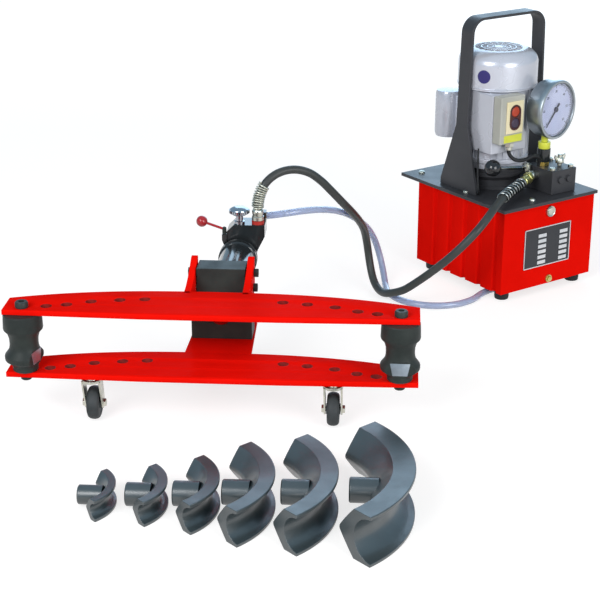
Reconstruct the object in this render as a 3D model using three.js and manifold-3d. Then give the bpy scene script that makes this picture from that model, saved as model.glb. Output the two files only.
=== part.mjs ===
// Electro-hydraulic pipe bender: bending frame and ram, six formers, hoses and motor pump.
// Millimetres, +Z up. The bender's long side runs along X and its ram pushes towards -Y.
import * as THREE from 'three';
import { mergeVertices } from 'three/addons/utils/BufferGeometryUtils.js';
import Module from 'manifold-3d';

const wasm = await Module();
wasm.setup();

// Shared clearances and overruns
const seatGap = 0.3;
const runningGap = 0.4;
const overrun = 2;
const weldDistance = 0.0005;

// Wing plates of the bending frame
const wing = {
  length: 600,
  midDepth: 97,
  endDepth: 54,
  frontRake: 5,
  thickness: 8,
  underside: 74,
  gap: 89.5,
  edgePointCount: 12,
  taperPowerShare: 2.6,
};
const holes = {
  radius: 8.4,
  outShares: [0.337, 0.457, 0.593, 0.703, 0.797, 0.91],
  backShares: [0.63, 0.577, 0.485, 0.34, 0.258, 0.175],
  sideCount: 12,
};
const tongue = { width: 93, length: 240, rootWidth: 100 };
const ear = { thickness: 10, innerHalf: 38.4, back: 186, rise: 25, drop: 21, frontLap: 6 };

// Cylinder block, barrel, ram and valve end, in distances behind the wings' front edge
const block = { front: 150, depth: 40, footWidth: 93, footHeight: 64, neckWidth: 74, height: 114 };
const gland = { outerRadius: 22.5, start: 160, length: 14 };
const barrel = { radius: 30, bore: 25, collarRadius: 32.5, collarLength: 16, end: 400, seatDepth: 14 };
const ramSize = {
  radius: 17.5,
  nose: 12,
  noseChamfer: 3,
  pistonRadius: 24.6,
  pistonLength: 28,
  rearRoom: 20,
  hollowRadius: 12,
  noseWall: 30,
};
const springSize = { radius: 11 };
const valve = {
  radius: 29,
  length: 52,
  chamfer: 7,
  saddleLeft: 20,
  saddleRight: 44,
  saddleFront: 4,
  saddleDepth: 42,
  saddleTop: 55,
  saddleWaist: 30,
  saddleEdge: 20,
  saddleBevel: 12,
  ledgeWidth: 8,
  ledgeEdge: 10,
  ledgeTop: 38,
  portHeight: 15,
  portDepth: 17,
  portWidth: 14,
};
const cap = { across: 1, radius: 16.5, height: 14, neckRadius: 6, neckHeight: 15, lip: 4, dome: 9 };
const coupler = { across: 32, setBack: 10.7, radius: 9, height: 26, ringRadius: 10.5, ringHeight: 6 };
const lever = { hubRadius: 3.6, hubHeight: 16, rodRadius: 2.6, reach: 37.5, climb: 13, ballRadius: 9.5 };
const earBolt = { headRadius: 7, headHeight: 7, lowHeadHeight: 3, shankRadius: 4, back: 170, height: 184 };

// Pins and end shoes
const pin = { radius: 8, knobRadius: 9.6, knobHeight: 9, below: 7 };
const shoe = { lift: 0.3, topRadius: 28, flareRadius: 29, waistRadius: 21, footRadius: 18.5, boreGap: 0.35 };
const shoeHeightShares = { foot: 0.1, lowFlare: 0.2, lowLip: 0.28, waistLow: 0.4, waistHigh: 0.6, lip: 0.74 };
const shoeFace = { front: 16, height: 26, base: 9, slope: 6 };

// Casters
const caster = {
  wheelRadius: 25,
  wheelWidth: 18,
  treadRadius: 3,
  hubRadius: 8,
  hubWidth: 21,
  axleRadius: 4,
  axleHeadRadius: 6.5,
  axleHead: 3.5,
  cheek: 2.5,
  cheekGap: 0.8,
  cheekWidth: 17,
  crownHeight: 4,
  crownRadius: 15,
  neckRadius: 10,
  stemRadius: 6,
  stemRise: 7,
  trail: 14,
  outShare: 0.59,
  front: 18,
  tongueInset: 26,
};

// Bending formers for six pipe sizes
const pipeDiameters = [21.3, 26.9, 33.7, 42.4, 48.3, 60.3];
const former = {
  bendRadii: [65, 77, 100, 138, 161, 190],
  firstAhead: -98,
  gaps: [13.9, 7.5, 3.4, 7.7, 13.6],
  rowBack: -233,
  halfTurnDeg: 45,
  lip: 4.9,
  wallShare: 0.85,
  flatShare: 1.02,
  hubRadius: 17,
  hubLength: 30,
  socketRadius: 12.5,
  socketDepth: 24,
  stepCount: 10,
  grooveCount: 6,
  backShares: [[0, 0], [0.82, 0.38], [1, 0.5], [0.82, 0.62], [0, 1]],
  hubSideCount: 14,
};

// Pump set, in its own frame: x along the data plate side, y along the ribbed side
const pumpPlace = { x: 451, y: 538.5, turnDeg: 38.3 };
const tank = {
  width: 216,
  depth: 238,
  height: 152,
  wall: 3,
  ribCount: 5,
  ribDepth: 6,
  ribMargin: 14,
  grooveShares: [[0, 0], [1, 0.08], [1, 0.2], [0, 0.3]],
  floor: 4,
};
const rubberFoot = { radius: 13, height: 16, inset: 22 };
const cover = { thickness: 6, lip: 4, rearLap: 48 };
const motor = {
  x: 96,
  y: 142,
  baseRadius: 52,
  baseHeight: 26,
  bellRadius: 58,
  bellHeight: 14,
  bodyRadius: 60,
  ribHeight: 2.5,
  ribCount: 18,
  bodyHeight: 150,
  wall: 10,
  stator: 38,
};
const cowl = { radius: 71, thickness: 2, lap: 6, height: 67, topRadius: 43, shoulder: 24, slotCount: 10 };
const cowlSlot = { width: 5, inner: 14, length: 28 };
const rotorSize = { shaftRadius: 8, coreRadius: 35, coreRoom: 12, fanRadius: 56, fanThickness: 5, fanRise: 14 };
const capacitor = { radius: 24, height: 84, x: 56, y: 227, rise: 78, round: 6, saddle: 26 };
const terminal = { left: 29, right: 112, front: 76, rise: 76, height: 107 };
const switchBox = { left: 30, width: 55, depth: 21, rise: 98, height: 85 };
const button = { radius: 9, proud: 3, length: 9, lift: 37, pitch: 20.5, across: 31, stroke: 3 };
const valveBlock = { left: 126, width: 58, front: 18, depth: 68, height: 43.6 };
const adjuster = { x: 163, y: 40, stemRadius: 4, stemHeight: 12, wingHeight: 10, wingHalf: 13, wingThickness: 5 };
const control = { y: 76, rise: 40, hubRadius: 7, hubHeight: 14, rodRadius: 3.6, knobRadius: 15 };
const controlKnob = { x: 30, y: 70, rise: 54 };
const gauge = {
  x: 142,
  radius: 50,
  rimRadius: 53,
  front: 34,
  depth: 36,
  rimDepth: 9,
  wall: 3,
  axisRise: 150,
  dialDepth: 8,
  stemBack: 26,
  turnDeg: 11,
};
const needle = { hubRadius: 4, length: 36, tail: 10, halfWidth: 1.6, thickness: 1.6, dialGap: 1.2 };
const needleRestDeg = 42;
const stem = { hexRadius: 11, hexHeight: 8, sleeveRadius: 12, sleeveHeight: 24, bandHeight: 12, neckRadius: 6 };
const handle = {
  ahead: 10,
  topHalf: 86,
  footHalf: 94,
  barWidth: 30,
  barThickness: 5,
  rise: 310,
  shoulder: 28,
  flareRise: 118,
  footLength: 98,
  baseWidth: 22,
};
const sightPlug = { x: 107, fromTop: 14, radius: 10, proud: 5, rimRadius: 7, rim: 2 };
const drainPlug = { x: 112, rise: 10, radius: 7, proud: 7, headRadius: 5 };
const pumpUnit = { radius: 44, height: 72, strainerRadius: 24, strainerHeight: 22 };
const elbow = { start: 44.3, width: 22, depth: 22, side: 52, lift: 0.8 };

// Hoses, their coiled guards and the fitting at the pump
const pressureLine = { radius: 7, sideCount: 8, stepCount: 62 };
const returnLine = { radius: 6, sideCount: 8, stepCount: 52 };
const guardWire = { sideCount: 5, stepsPerCurl: 8, hoseGap: 1.4 };
const cylinderGuard = { wireRadius: 1.1, length: 48, curlCount: 10 };
const pumpGuard = { wireRadius: 1.7, length: 88, curlCount: 9 };
const fitting = { ballRadius: 9, standoff: 14, nutRadius: 10.5, nutStart: 7, height: 30, y: 58 };

// Hose routes: points chosen along the way each hose lies, from the bender to the pump
const pressureRoute = [
  [32, 415, 208.4], [32.6, 415.1, 220.6], [39.2, 418.6, 241.8], [52.4, 425.6, 257.8],
  [71.1, 435.1, 267], [93.2, 445.6, 267.8], [115.5, 456, 259.6], [134.7, 466, 243],
  [149.8, 477.3, 224.2], [168.9, 497.5, 197.1], [184.3, 521.8, 172.5], [195.8, 549, 149.4],
  [203.9, 576.9, 126.3], [207.7, 593.8, 108.7], [210.9, 605.5, 87.7], [214.2, 608.9, 64.2],
  [218.3, 603.3, 41.5], [223.9, 590, 23.1], [231.6, 571.2, 13.6], [242, 550.2, 12], [255.2, 531, 18.4],
  [279, 510.9, 32.8], [304, 497.5, 54.9], [328.5, 484.9, 79.1], [352.2, 473.1, 104.5],
  [376.3, 466.6, 131.4], [400.6, 472.5, 157.7], [414.8, 485.7, 172], [426.3, 504.8, 181.8],
  [436, 526.5, 187.8], [450.9, 559.7, 193.1], [468.2, 591.8, 196.8], [480.3, 613, 199.2],
  [486.2, 623.6, 200.5],
];
const returnRoute = [
  [44.7, 437, 189], [56.8, 437.6, 190.2], [80.3, 443.3, 192.2], [102.2, 453.9, 192.7],
  [130.4, 476.6, 188.7], [152.6, 504.1, 179.4], [170.2, 533.3, 166.2], [185.2, 562.4, 150],
  [198.9, 590.7, 131.5], [207.4, 609.1, 118], [215.3, 626.3, 102.7], [223, 639.5, 84.1],
  [230.4, 644.7, 62.4], [236.9, 640.5, 40.3], [242, 627.4, 21.8], [245.5, 607.7, 9.9],
  [248.6, 584.3, 6.2], [253.9, 560.6, 6.6], [272.1, 529.7, 7.2], [302.6, 510.5, 6.6],
  [338.7, 506.1, 6.2], [373.5, 516.4, 6.2], [400.8, 540.1, 6.2], [419.3, 571.8, 6.2],
  [434.1, 590.9, 6.2], [453.1, 606.2, 6.2],
];

// Sides on round work
const fine = 24;
const medium = 16;
const coarse = 12;

// Geometry helpers

function closed(geometry) {
  const bare = geometry.clone();
  bare.deleteAttribute('normal');
  bare.deleteAttribute('uv');
  const merged = mergeVertices(bare, weldDistance);
  const order = merged.index.array;
  const place = merged.attributes.position;
  const kept = [];
  const [a, b, c] = [new THREE.Vector3(), new THREE.Vector3(), new THREE.Vector3()];
  let volume = 0;
  for (let i = 0; i < order.length; i += 3) {
    const [p, q, r] = [order[i], order[i + 1], order[i + 2]];
    if (p === q || q === r || r === p) continue;
    kept.push(p, q, r);
    a.fromBufferAttribute(place, p);
    b.fromBufferAttribute(place, q);
    c.fromBufferAttribute(place, r);
    volume += a.dot(b.cross(c));
  }
  merged.setIndex(volume < 0 ? kept.reverse() : kept);
  return merged;
}

function solid(geometry) {
  const shape = closed(geometry);
  const vertProperties = new Float32Array(shape.attributes.position.array);
  const triVerts = new Uint32Array(shape.index.array);
  return new wasm.Manifold(new wasm.Mesh({ numProp: 3, vertProperties, triVerts }));
}

function fromSolid(body) {
  const mesh = body.getMesh();
  const geometry = new THREE.BufferGeometry();
  geometry.setAttribute('position', new THREE.BufferAttribute(mesh.vertProperties, 3));
  geometry.setIndex(new THREE.BufferAttribute(mesh.triVerts, 1));
  return geometry;
}

function join(...geometries) {
  return fromSolid(geometries.map(solid).reduce((all, next) => all.add(next)));
}

function cut(base, ...tools) {
  return fromSolid(tools.map(solid).reduce((left, next) => left.subtract(next), solid(base)));
}

function slab(x0, x1, y0, y1, z0, z1) {
  const geometry = new THREE.BoxGeometry(x1 - x0, y1 - y0, z1 - z0);
  return geometry.translate((x0 + x1) / 2, (y0 + y1) / 2, (z0 + z1) / 2);
}

function post(radius, z0, z1, sides, x = 0, y = 0) {
  const geometry = new THREE.CylinderGeometry(radius, radius, z1 - z0, sides);
  return geometry.rotateX(Math.PI / 2).translate(x, y, (z0 + z1) / 2);
}

function barAlongX(radius, x0, x1, sides, y, z) {
  const geometry = new THREE.CylinderGeometry(radius, radius, x1 - x0, sides);
  return geometry.rotateZ(Math.PI / 2).translate((x0 + x1) / 2, y, z);
}

function barAlongY(radius, y0, y1, sides, x, z) {
  return new THREE.CylinderGeometry(radius, radius, y1 - y0, sides).translate(x, (y0 + y1) / 2, z);
}

function turned(profile, sides) {
  const points = profile.map(([r, z]) => new THREE.Vector2(r, z));
  return new THREE.LatheGeometry(points, sides).rotateX(Math.PI / 2);
}

function turnedAlongY(profile, sides) {
  const points = profile.map(([r, y]) => new THREE.Vector2(r, y));
  return new THREE.LatheGeometry(points, sides);
}

function plate(outline, z0, thickness, openings = []) {
  const shape = new THREE.Shape(outline.map(([x, y]) => new THREE.Vector2(x, y)));
  shape.holes = openings;
  const options = { depth: thickness, bevelEnabled: false, curveSegments: holes.sideCount / 2 };
  return new THREE.ExtrudeGeometry(shape, options).translate(0, 0, z0);
}

function roundOpening(x, y, radius, sides) {
  const corners = [];
  for (let i = 0; i < sides; i += 1) {
    const angle = (-2 * Math.PI * i) / sides;
    corners.push(new THREE.Vector2(x + radius * Math.cos(angle), y + radius * Math.sin(angle)));
  }
  return new THREE.Path(corners);
}

function rodBetween(from, to, radius, sides) {
  const along = new THREE.Vector3().subVectors(to, from);
  const geometry = new THREE.CylinderGeometry(radius, radius, along.length(), sides);
  const turn = new THREE.Quaternion().setFromUnitVectors(new THREE.Vector3(0, 1, 0), along.clone().normalize());
  geometry.applyQuaternion(turn);
  return geometry.translate((from.x + to.x) / 2, (from.y + to.y) / 2, (from.z + to.z) / 2);
}

function ringSection(radius, sides) {
  const corners = [];
  for (let i = 0; i < sides; i += 1) {
    const angle = (2 * Math.PI * i) / sides;
    corners.push(new THREE.Vector2(radius * Math.cos(angle), radius * Math.sin(angle)));
  }
  return new THREE.Shape(corners);
}

function tubeAlong(curve, radius, sides, steps) {
  const options = { steps, extrudePath: curve, bevelEnabled: false };
  return new THREE.ExtrudeGeometry(ringSection(radius, sides), options);
}

function finish(colour, roughness, metalness) {
  return new THREE.MeshStandardMaterial({ color: colour, roughness, metalness });
}

const bender = new THREE.Group();
const pump = new THREE.Group();
const cords = new Set();

function add(group, name, geometry, material) {
  const mesh = new THREE.Mesh(closed(geometry), material);
  mesh.name = name;
  group.add(mesh);
  return mesh;
}

// Finishes
const redPaint = () => finish('#dc1108', 0.35, 0.1);
const blackCast = () => finish('#3a3c38', 0.55, 0.4);
const glossBlack = () => finish('#2c3034', 0.25, 0.4);
const blackPaint = () => finish('#343437', 0.45, 0.2);
const formerCast = () => finish('#4a5256', 0.4, 0.5);
const greyPaint = () => finish('#a9acb2', 0.4, 0.3);
const zinc = () => finish('#b8bcbc', 0.35, 0.9);
const chrome = () => finish('#d8dadc', 0.12, 1);
const steel = () => finish('#9aa0a0', 0.3, 0.9);
const brass = () => finish('#c8b060', 0.35, 0.9);
const rubber = () => finish('#35383a', 0.8, 0);
const hoseRubber = () => finish('#3c403e', 0.7, 0);
const clearHose = () => finish('#9aa6bc', 0.2, 0);
const redPlastic = () => finish('#a3242a', 0.35, 0);
const blackPlastic = () => finish('#26272a', 0.3, 0);
const palePlastic = () => finish('#a7a8a0', 0.5, 0);

// Levels that the bender's pieces share
const lowerTop = wing.underside + wing.thickness;
const upperBottom = lowerTop + wing.gap;
const upperTop = upperBottom + wing.thickness;
const ramHeight = lowerTop + wing.gap / 2;
const halfWing = wing.length / 2;
const holeSpots = holes.outShares.map((share, i) => [share * halfWing, holes.backShares[i] * wing.midDepth]);
const [pinOut, pinBack] = holeSpots.at(-1);
const casterSpots = {
  left: [-caster.outShare * halfWing, caster.front],
  right: [caster.outShare * halfWing, caster.front],
  rear: [0, tongue.length - caster.tongueInset],
};

function rearEdge(x) {
  const share = (Math.abs(x) / halfWing) ** wing.taperPowerShare;
  return wing.midDepth - (wing.midDepth - wing.endDepth) * share;
}

function wingOutline(withTongue) {
  const points = [[-halfWing, wing.frontRake], [-halfWing / 3, 0], [halfWing / 3, 0], [halfWing, wing.frontRake]];
  const halfTongue = tongue.width / 2;
  const halfRoot = tongue.rootWidth / 2;
  for (let i = 0; i <= wing.edgePointCount; i += 1) {
    const x = halfWing - (wing.length * i) / wing.edgePointCount;
    if (x === 0 && withTongue) {
      points.push([halfRoot, rearEdge(halfRoot)], [halfTongue, tongue.length]);
      points.push([-halfTongue, tongue.length], [-halfRoot, rearEdge(halfRoot)]);
    } else if (!withTongue || Math.abs(x) > halfRoot) {
      points.push([x, rearEdge(x)]);
    }
  }
  return points;
}

function pinOpenings() {
  const openings = [];
  holeSpots.forEach(([out, back]) => {
    for (const side of [-1, 1]) {
      openings.push(roundOpening(side * out, back, holes.radius, holes.sideCount));
    }
  });
  return openings;
}

function addWings() {
  const stemOpenings = Object.values(casterSpots).map(
    ([x, y]) => roundOpening(x, y, caster.stemRadius + runningGap, holes.sideCount),
  );
  const lowerOpenings = [...pinOpenings(), ...stemOpenings];
  const lower = plate(wingOutline(true), wing.underside, wing.thickness, lowerOpenings);
  add(bender, 'lower_wing_plate', lower, redPaint());

  const earOutline = [
    [wing.midDepth - ear.frontLap, upperBottom],
    [wing.midDepth - ear.frontLap, upperTop],
    [wing.midDepth, upperTop],
    [(wing.midDepth * 2 + ear.back) / 3, upperTop + ear.rise / 6],
    [(wing.midDepth + ear.back * 2) / 3, upperTop + ear.rise / 2],
    [ear.back - ear.frontLap, upperTop + ear.rise],
    [ear.back, upperTop + ear.rise],
    [ear.back, upperBottom - ear.drop],
    [wing.midDepth + ear.frontLap * 2, upperBottom - ear.drop],
  ];
  const upper = [plate(wingOutline(false), upperBottom, wing.thickness, pinOpenings())];
  for (const side of [-1, 1]) {
    const middle = side * (ear.innerHalf + ear.thickness / 2);
    const profile = plate(earOutline, -ear.thickness / 2, ear.thickness);
    profile.rotateY(Math.PI / 2).rotateX(Math.PI / 2).translate(middle, 0, 0);
    upper.push(profile);
  }
  const boltRun = ear.innerHalf + ear.thickness + overrun;
  const boltHole = barAlongX(
    earBolt.shankRadius + runningGap, -boltRun, boltRun, coarse, earBolt.back, earBolt.height,
  );
  add(bender, 'upper_wing_plate', cut(join(...upper), boltHole), redPaint());
}

function addCylinder() {
  const back = block.front + block.depth;
  const halfFoot = block.footWidth / 2;
  const halfNeck = block.neckWidth / 2;
  const base = lowerTop + seatGap;
  const foot = slab(-halfFoot, halfFoot, block.front, back, base, lowerTop + block.footHeight);
  const neck = slab(-halfNeck, halfNeck, block.front, back, base, lowerTop + block.height);
  const rodBore = barAlongY(
    ramSize.radius + runningGap, block.front - overrun, back + overrun, fine, 0, ramHeight,
  );
  const glandBore = barAlongY(gland.outerRadius + seatGap, gland.start, back + overrun, fine, 0, ramHeight);
  const barrelStart = back - barrel.seatDepth;
  const barrelBore = barAlongY(barrel.radius + seatGap, barrelStart, back + overrun, fine, 0, ramHeight);
  const boltBore = barAlongX(
    earBolt.shankRadius + runningGap, -halfNeck - overrun, halfNeck + overrun, coarse, earBolt.back, earBolt.height,
  );
  const blockShape = cut(join(foot, neck), rodBore, glandBore, barrelBore, boltBore);
  add(bender, 'cylinder_block', blockShape, blackCast());

  const glandFront = gland.start + seatGap;
  const glandRing = turnedAlongY([
    [ramSize.radius + runningGap, glandFront],
    [gland.outerRadius, glandFront],
    [gland.outerRadius, glandFront + gland.length],
    [ramSize.radius + runningGap, glandFront + gland.length],
    [ramSize.radius + runningGap, glandFront],
  ], fine).translate(0, 0, ramHeight);
  add(bender, 'rod_gland', glandRing, brass());

  const collarStart = barrel.end - barrel.collarLength;
  const tube = turnedAlongY([
    [barrel.bore, barrelStart + seatGap],
    [barrel.radius, barrelStart + seatGap],
    [barrel.radius, collarStart],
    [barrel.collarRadius, collarStart],
    [barrel.collarRadius, barrel.end],
    [barrel.bore, barrel.end],
    [barrel.bore, barrelStart + seatGap],
  ], fine).translate(0, 0, ramHeight);
  add(bender, 'cylinder_barrel', tube, glossBlack());

  const tip = block.front - ramSize.nose;
  const pistonEnd = barrel.end - ramSize.rearRoom;
  const pistonStart = pistonEnd - ramSize.pistonLength;
  const ram = turnedAlongY([
    [0, tip],
    [ramSize.radius - ramSize.noseChamfer, tip],
    [ramSize.radius, tip + ramSize.noseChamfer],
    [ramSize.radius, pistonStart],
    [ramSize.pistonRadius, pistonStart],
    [ramSize.pistonRadius, pistonEnd],
    [ramSize.hollowRadius, pistonEnd],
    [ramSize.hollowRadius, tip + ramSize.noseWall],
    [0, tip + ramSize.noseWall],
  ], fine).translate(0, 0, ramHeight);
  add(bender, 'ram', ram, chrome());

  const springStart = tip + ramSize.noseWall + seatGap;
  const spring = barAlongY(springSize.radius, springStart, barrel.end, coarse, 0, ramHeight);
  add(bender, 'return_spring', spring, steel());
}

function addValveEnd() {
  const start = barrel.end + seatGap;
  const end = start + valve.length;
  const round = turnedAlongY([
    [0, start],
    [valve.radius, start],
    [valve.radius, end - valve.chamfer],
    [valve.radius - valve.chamfer, end],
    [0, end],
  ], fine).translate(0, 0, ramHeight);
  const saddleStart = start + valve.saddleFront;
  const saddleEnd = saddleStart + valve.saddleDepth;
  const top = ramHeight + valve.saddleTop;
  const saddle = plate([
    [valve.saddleBevel - valve.saddleLeft, -top],
    [-valve.saddleLeft, valve.saddleBevel - top],
    [-valve.saddleLeft, -ramHeight],
    [valve.radius - valve.chamfer, -ramHeight],
    [valve.saddleWaist, -ramHeight - valve.chamfer],
    [valve.saddleRight, valve.saddleEdge - top],
    [valve.saddleRight, -top],
  ], saddleStart, valve.saddleDepth).rotateX(-Math.PI / 2);
  const ledgeLeft = -valve.saddleLeft - valve.ledgeWidth;
  const ledgeTop = ramHeight + valve.ledgeTop;
  const ledge = plate([
    [-valve.saddleLeft + overrun, -ledgeTop],
    [ledgeLeft, -ledgeTop],
    [ledgeLeft, valve.ledgeEdge - ledgeTop],
    [-valve.saddleLeft + overrun, -ramHeight],
  ], saddleStart, valve.ledgeWidth).rotateX(-Math.PI / 2);
  const portLeft = valve.saddleRight - valve.portWidth;
  const portFront = saddleEnd - valve.portDepth;
  const port = slab(portLeft, valve.saddleRight, portFront, saddleEnd, top - overrun, top + valve.portHeight);
  add(bender, 'valve_body', join(round, saddle, ledge, port), glossBlack());

  const capRise = top + seatGap;
  const capBase = capRise + cap.neckHeight;
  const fillerCap = turned([
    [0, capRise],
    [cap.neckRadius, capRise],
    [cap.neckRadius, capBase],
    [cap.radius - cap.lip, capBase],
    [cap.radius, capBase + cap.lip],
    [cap.radius, capBase + cap.height - cap.lip],
    [cap.radius - cap.dome, capBase + cap.height],
    [0, capBase + cap.height],
  ], fine);
  const capBack = saddleStart + valve.saddleDepth / 4;
  add(bender, 'filler_cap', fillerCap.translate(cap.across, capBack, 0), chrome());

  const couplerBase = top + seatGap;
  const couplerBody = turned([
    [0, couplerBase],
    [coupler.ringRadius, couplerBase],
    [coupler.ringRadius, couplerBase + coupler.ringHeight],
    [coupler.radius, couplerBase + coupler.ringHeight],
    [coupler.radius, couplerBase + coupler.height],
    [0, couplerBase + coupler.height],
  ], medium);
  couplerBody.translate(coupler.across, saddleStart + coupler.setBack, 0);
  add(bender, 'hose_coupler', couplerBody, zinc());

  const pivotX = -valve.saddleLeft - valve.ledgeWidth / 2;
  const pivotY = saddleStart + valve.ledgeWidth / 2;
  const hubBase = ledgeTop + seatGap;
  const hub = post(lever.hubRadius, hubBase, hubBase + lever.hubHeight, coarse, pivotX, pivotY);
  const root = new THREE.Vector3(pivotX, pivotY, hubBase + lever.hubHeight / 2);
  const tipPoint = new THREE.Vector3(pivotX - lever.reach, pivotY, root.z + lever.climb);
  const rod = rodBetween(root, tipPoint, lever.rodRadius, coarse / 2);
  const ball = new THREE.SphereGeometry(lever.ballRadius, coarse, coarse / 2);
  ball.translate(tipPoint.x, tipPoint.y, tipPoint.z);
  add(bender, 'release_lever', join(hub, rod, ball), redPlastic());
}

function addEarBolts() {
  const headStart = ear.innerHalf + ear.thickness + seatGap;
  for (const [name, side, headHeight] of [
    ['ear_bolt_left', -1, earBolt.lowHeadHeight],
    ['ear_bolt_right', 1, earBolt.headHeight],
  ]) {
    const shank = barAlongX(
      earBolt.shankRadius, block.neckWidth / 4, headStart + overrun, coarse, earBolt.back, earBolt.height,
    );
    const head = barAlongX(
      earBolt.headRadius, headStart, headStart + headHeight, coarse / 2, earBolt.back, earBolt.height,
    );
    const bolt = join(shank, head);
    if (side < 0) bolt.rotateZ(Math.PI).translate(0, earBolt.back * 2, 0);
    add(bender, name, bolt, blackCast());
  }
}

function addPinsAndShoes() {
  const knobBase = upperTop + seatGap;
  const shoeBase = lowerTop + shoe.lift;
  const shoeHeight = wing.gap - 2 * shoe.lift;
  const level = (share) => shoeBase + shoeHeight * share;
  const bore = pin.radius + shoe.boreGap;
  const profile = [
    [bore, shoeBase],
    [shoe.footRadius, shoeBase],
    [shoe.footRadius, level(shoeHeightShares.foot)],
    [shoe.flareRadius, level(shoeHeightShares.lowFlare)],
    [shoe.flareRadius, level(shoeHeightShares.lowLip)],
    [shoe.waistRadius, level(shoeHeightShares.waistLow)],
    [shoe.waistRadius, level(shoeHeightShares.waistHigh)],
    [shoe.flareRadius, level(shoeHeightShares.lip)],
    [shoe.topRadius, level(1)],
    [bore, level(1)],
    [bore, shoeBase],
  ];
  for (const [ending, side] of [['left', -1], ['right', 1]]) {
    const x = side * pinOut;
    const shank = post(pin.radius, wing.underside - pin.below, knobBase + overrun, medium, x, pinBack);
    const knob = post(pin.knobRadius, knobBase, knobBase + pin.knobHeight, medium, x, pinBack);
    add(bender, `pivot_pin_${ending}`, join(shank, knob), blackCast());

    const body = turned(profile, 18);
    const faceTop = shoeBase + shoeFace.base + shoeFace.height;
    const machined = slab(
      -shoe.flareRadius, shoe.flareRadius, -shoe.flareRadius * 2, -shoeFace.front - shoeFace.slope / 2,
      shoeBase + shoeFace.base, faceTop,
    );
    add(bender, `end_shoe_${ending}`, cut(body, machined).translate(x, pinBack, 0), blackCast());
  }
}

function casterFork() {
  const half = caster.hubWidth / 2 + caster.cheekGap;
  const outer = half + caster.cheek;
  const crownBase = wing.underside - seatGap - caster.crownHeight * 2;
  const pieces = [];
  for (const side of [-1, 1]) {
    const [x0, x1] = side < 0 ? [-outer, -half] : [half, outer];
    pieces.push(barAlongX(caster.cheekWidth / 2, x0, x1, coarse, caster.trail, caster.wheelRadius));
    const cheek = new THREE.Shape([
      new THREE.Vector2(caster.trail - caster.cheekWidth / 2, caster.wheelRadius),
      new THREE.Vector2(caster.trail + caster.cheekWidth / 2, caster.wheelRadius),
      new THREE.Vector2(caster.cheekWidth * 0.8, crownBase + caster.crownHeight / 2),
      new THREE.Vector2(-caster.cheekWidth * 0.6, crownBase + caster.crownHeight / 2),
    ]);
    const options = { depth: caster.cheek, bevelEnabled: false };
    const leaf = new THREE.ExtrudeGeometry(cheek, options).rotateY(Math.PI / 2).rotateX(Math.PI / 2);
    pieces.push(leaf.translate(x0, 0, 0));
    const [h0, h1] = side < 0 ? [-outer - caster.axleHead, -half] : [half, outer + caster.axleHead];
    pieces.push(barAlongX(caster.axleHeadRadius, h0, h1, coarse / 2, caster.trail, caster.wheelRadius));
  }
  pieces.push(barAlongX(caster.axleRadius, -half - overrun / 2, half + overrun / 2, coarse, caster.trail, caster.wheelRadius));
  pieces.push(post(caster.crownRadius, crownBase, crownBase + caster.crownHeight, coarse));
  const neckTop = wing.underside - seatGap;
  pieces.push(post(caster.neckRadius, crownBase + caster.crownHeight / 2, neckTop, coarse));
  pieces.push(post(caster.stemRadius, crownBase + caster.crownHeight / 2, wing.underside + caster.stemRise, coarse));
  return join(...pieces);
}

function casterWheel() {
  const bore = caster.axleRadius + runningGap;
  const half = caster.wheelWidth / 2;
  const hubHalf = caster.hubWidth / 2;
  return turnedAlongY([
    [bore, -hubHalf],
    [caster.hubRadius, -hubHalf],
    [caster.hubRadius, -half],
    [caster.wheelRadius - caster.treadRadius, -half],
    [caster.wheelRadius, -half + caster.treadRadius],
    [caster.wheelRadius, half - caster.treadRadius],
    [caster.wheelRadius - caster.treadRadius, half],
    [caster.hubRadius, half],
    [caster.hubRadius, hubHalf],
    [bore, hubHalf],
    [bore, -hubHalf],
  ], medium).rotateZ(Math.PI / 2);
}

function addCasters() {
  for (const [ending, [x, y]] of Object.entries(casterSpots)) {
    add(bender, `caster_fork_${ending}`, casterFork().translate(x, y, 0), zinc());
    const wheel = casterWheel().translate(x, y + caster.trail, caster.wheelRadius);
    add(bender, `caster_wheel_${ending}`, wheel, rubber());
  }
}

function formerShape(pipeDiameter, bendRadius) {
  const thickness = pipeDiameter + 2 * former.lip;
  const groove = pipeDiameter / 2;
  const flatInner = bendRadius - groove * former.flatShare;
  const bulge = groove * former.wallShare;
  const section = [[bendRadius, 0]];
  former.backShares.forEach(([deep, high]) => section.push([flatInner - bulge * deep, thickness * high]));
  section.push([bendRadius, thickness]);
  for (let i = 0; i <= former.grooveCount; i += 1) {
    const angle = Math.PI / 2 - (Math.PI * i) / former.grooveCount;
    section.push([bendRadius - groove * Math.cos(angle), thickness / 2 + groove * Math.sin(angle)]);
  }
  section.push(section[0]);
  const halfTurn = THREE.MathUtils.degToRad(former.halfTurnDeg);
  const points = section.map(([r, z]) => new THREE.Vector2(r, z));
  const whole = new THREE.LatheGeometry(points, former.stepCount, Math.PI / 2 - halfTurn, 2 * halfTurn);
  whole.rotateX(Math.PI / 2);
  return { whole, thickness, inner: flatInner - bulge, section };
}

function endFace(section, angle) {
  const face = new THREE.ShapeGeometry(new THREE.Shape(section.slice(0, -1).map(([r, z]) => new THREE.Vector2(r, z))));
  return face.rotateX(Math.PI / 2).rotateZ(angle);
}

function capped(swept, section, halfTurn) {
  const pieces = [swept, endFace(section, -halfTurn), endFace(section, halfTurn)];
  const positions = [];
  pieces.forEach((piece, which) => {
    const flat = piece.index ? piece.toNonIndexed() : piece;
    const values = Array.from(flat.attributes.position.array);
    for (let i = 0; i < values.length; i += 9) {
      const corners = [values.slice(i, i + 3), values.slice(i + 3, i + 6), values.slice(i + 6, i + 9)];
      if (which === 1) corners.reverse();
      positions.push(...corners.flat());
    }
  });
  const geometry = new THREE.BufferGeometry();
  geometry.setAttribute('position', new THREE.Float32BufferAttribute(positions, 3));
  return geometry;
}

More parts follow.
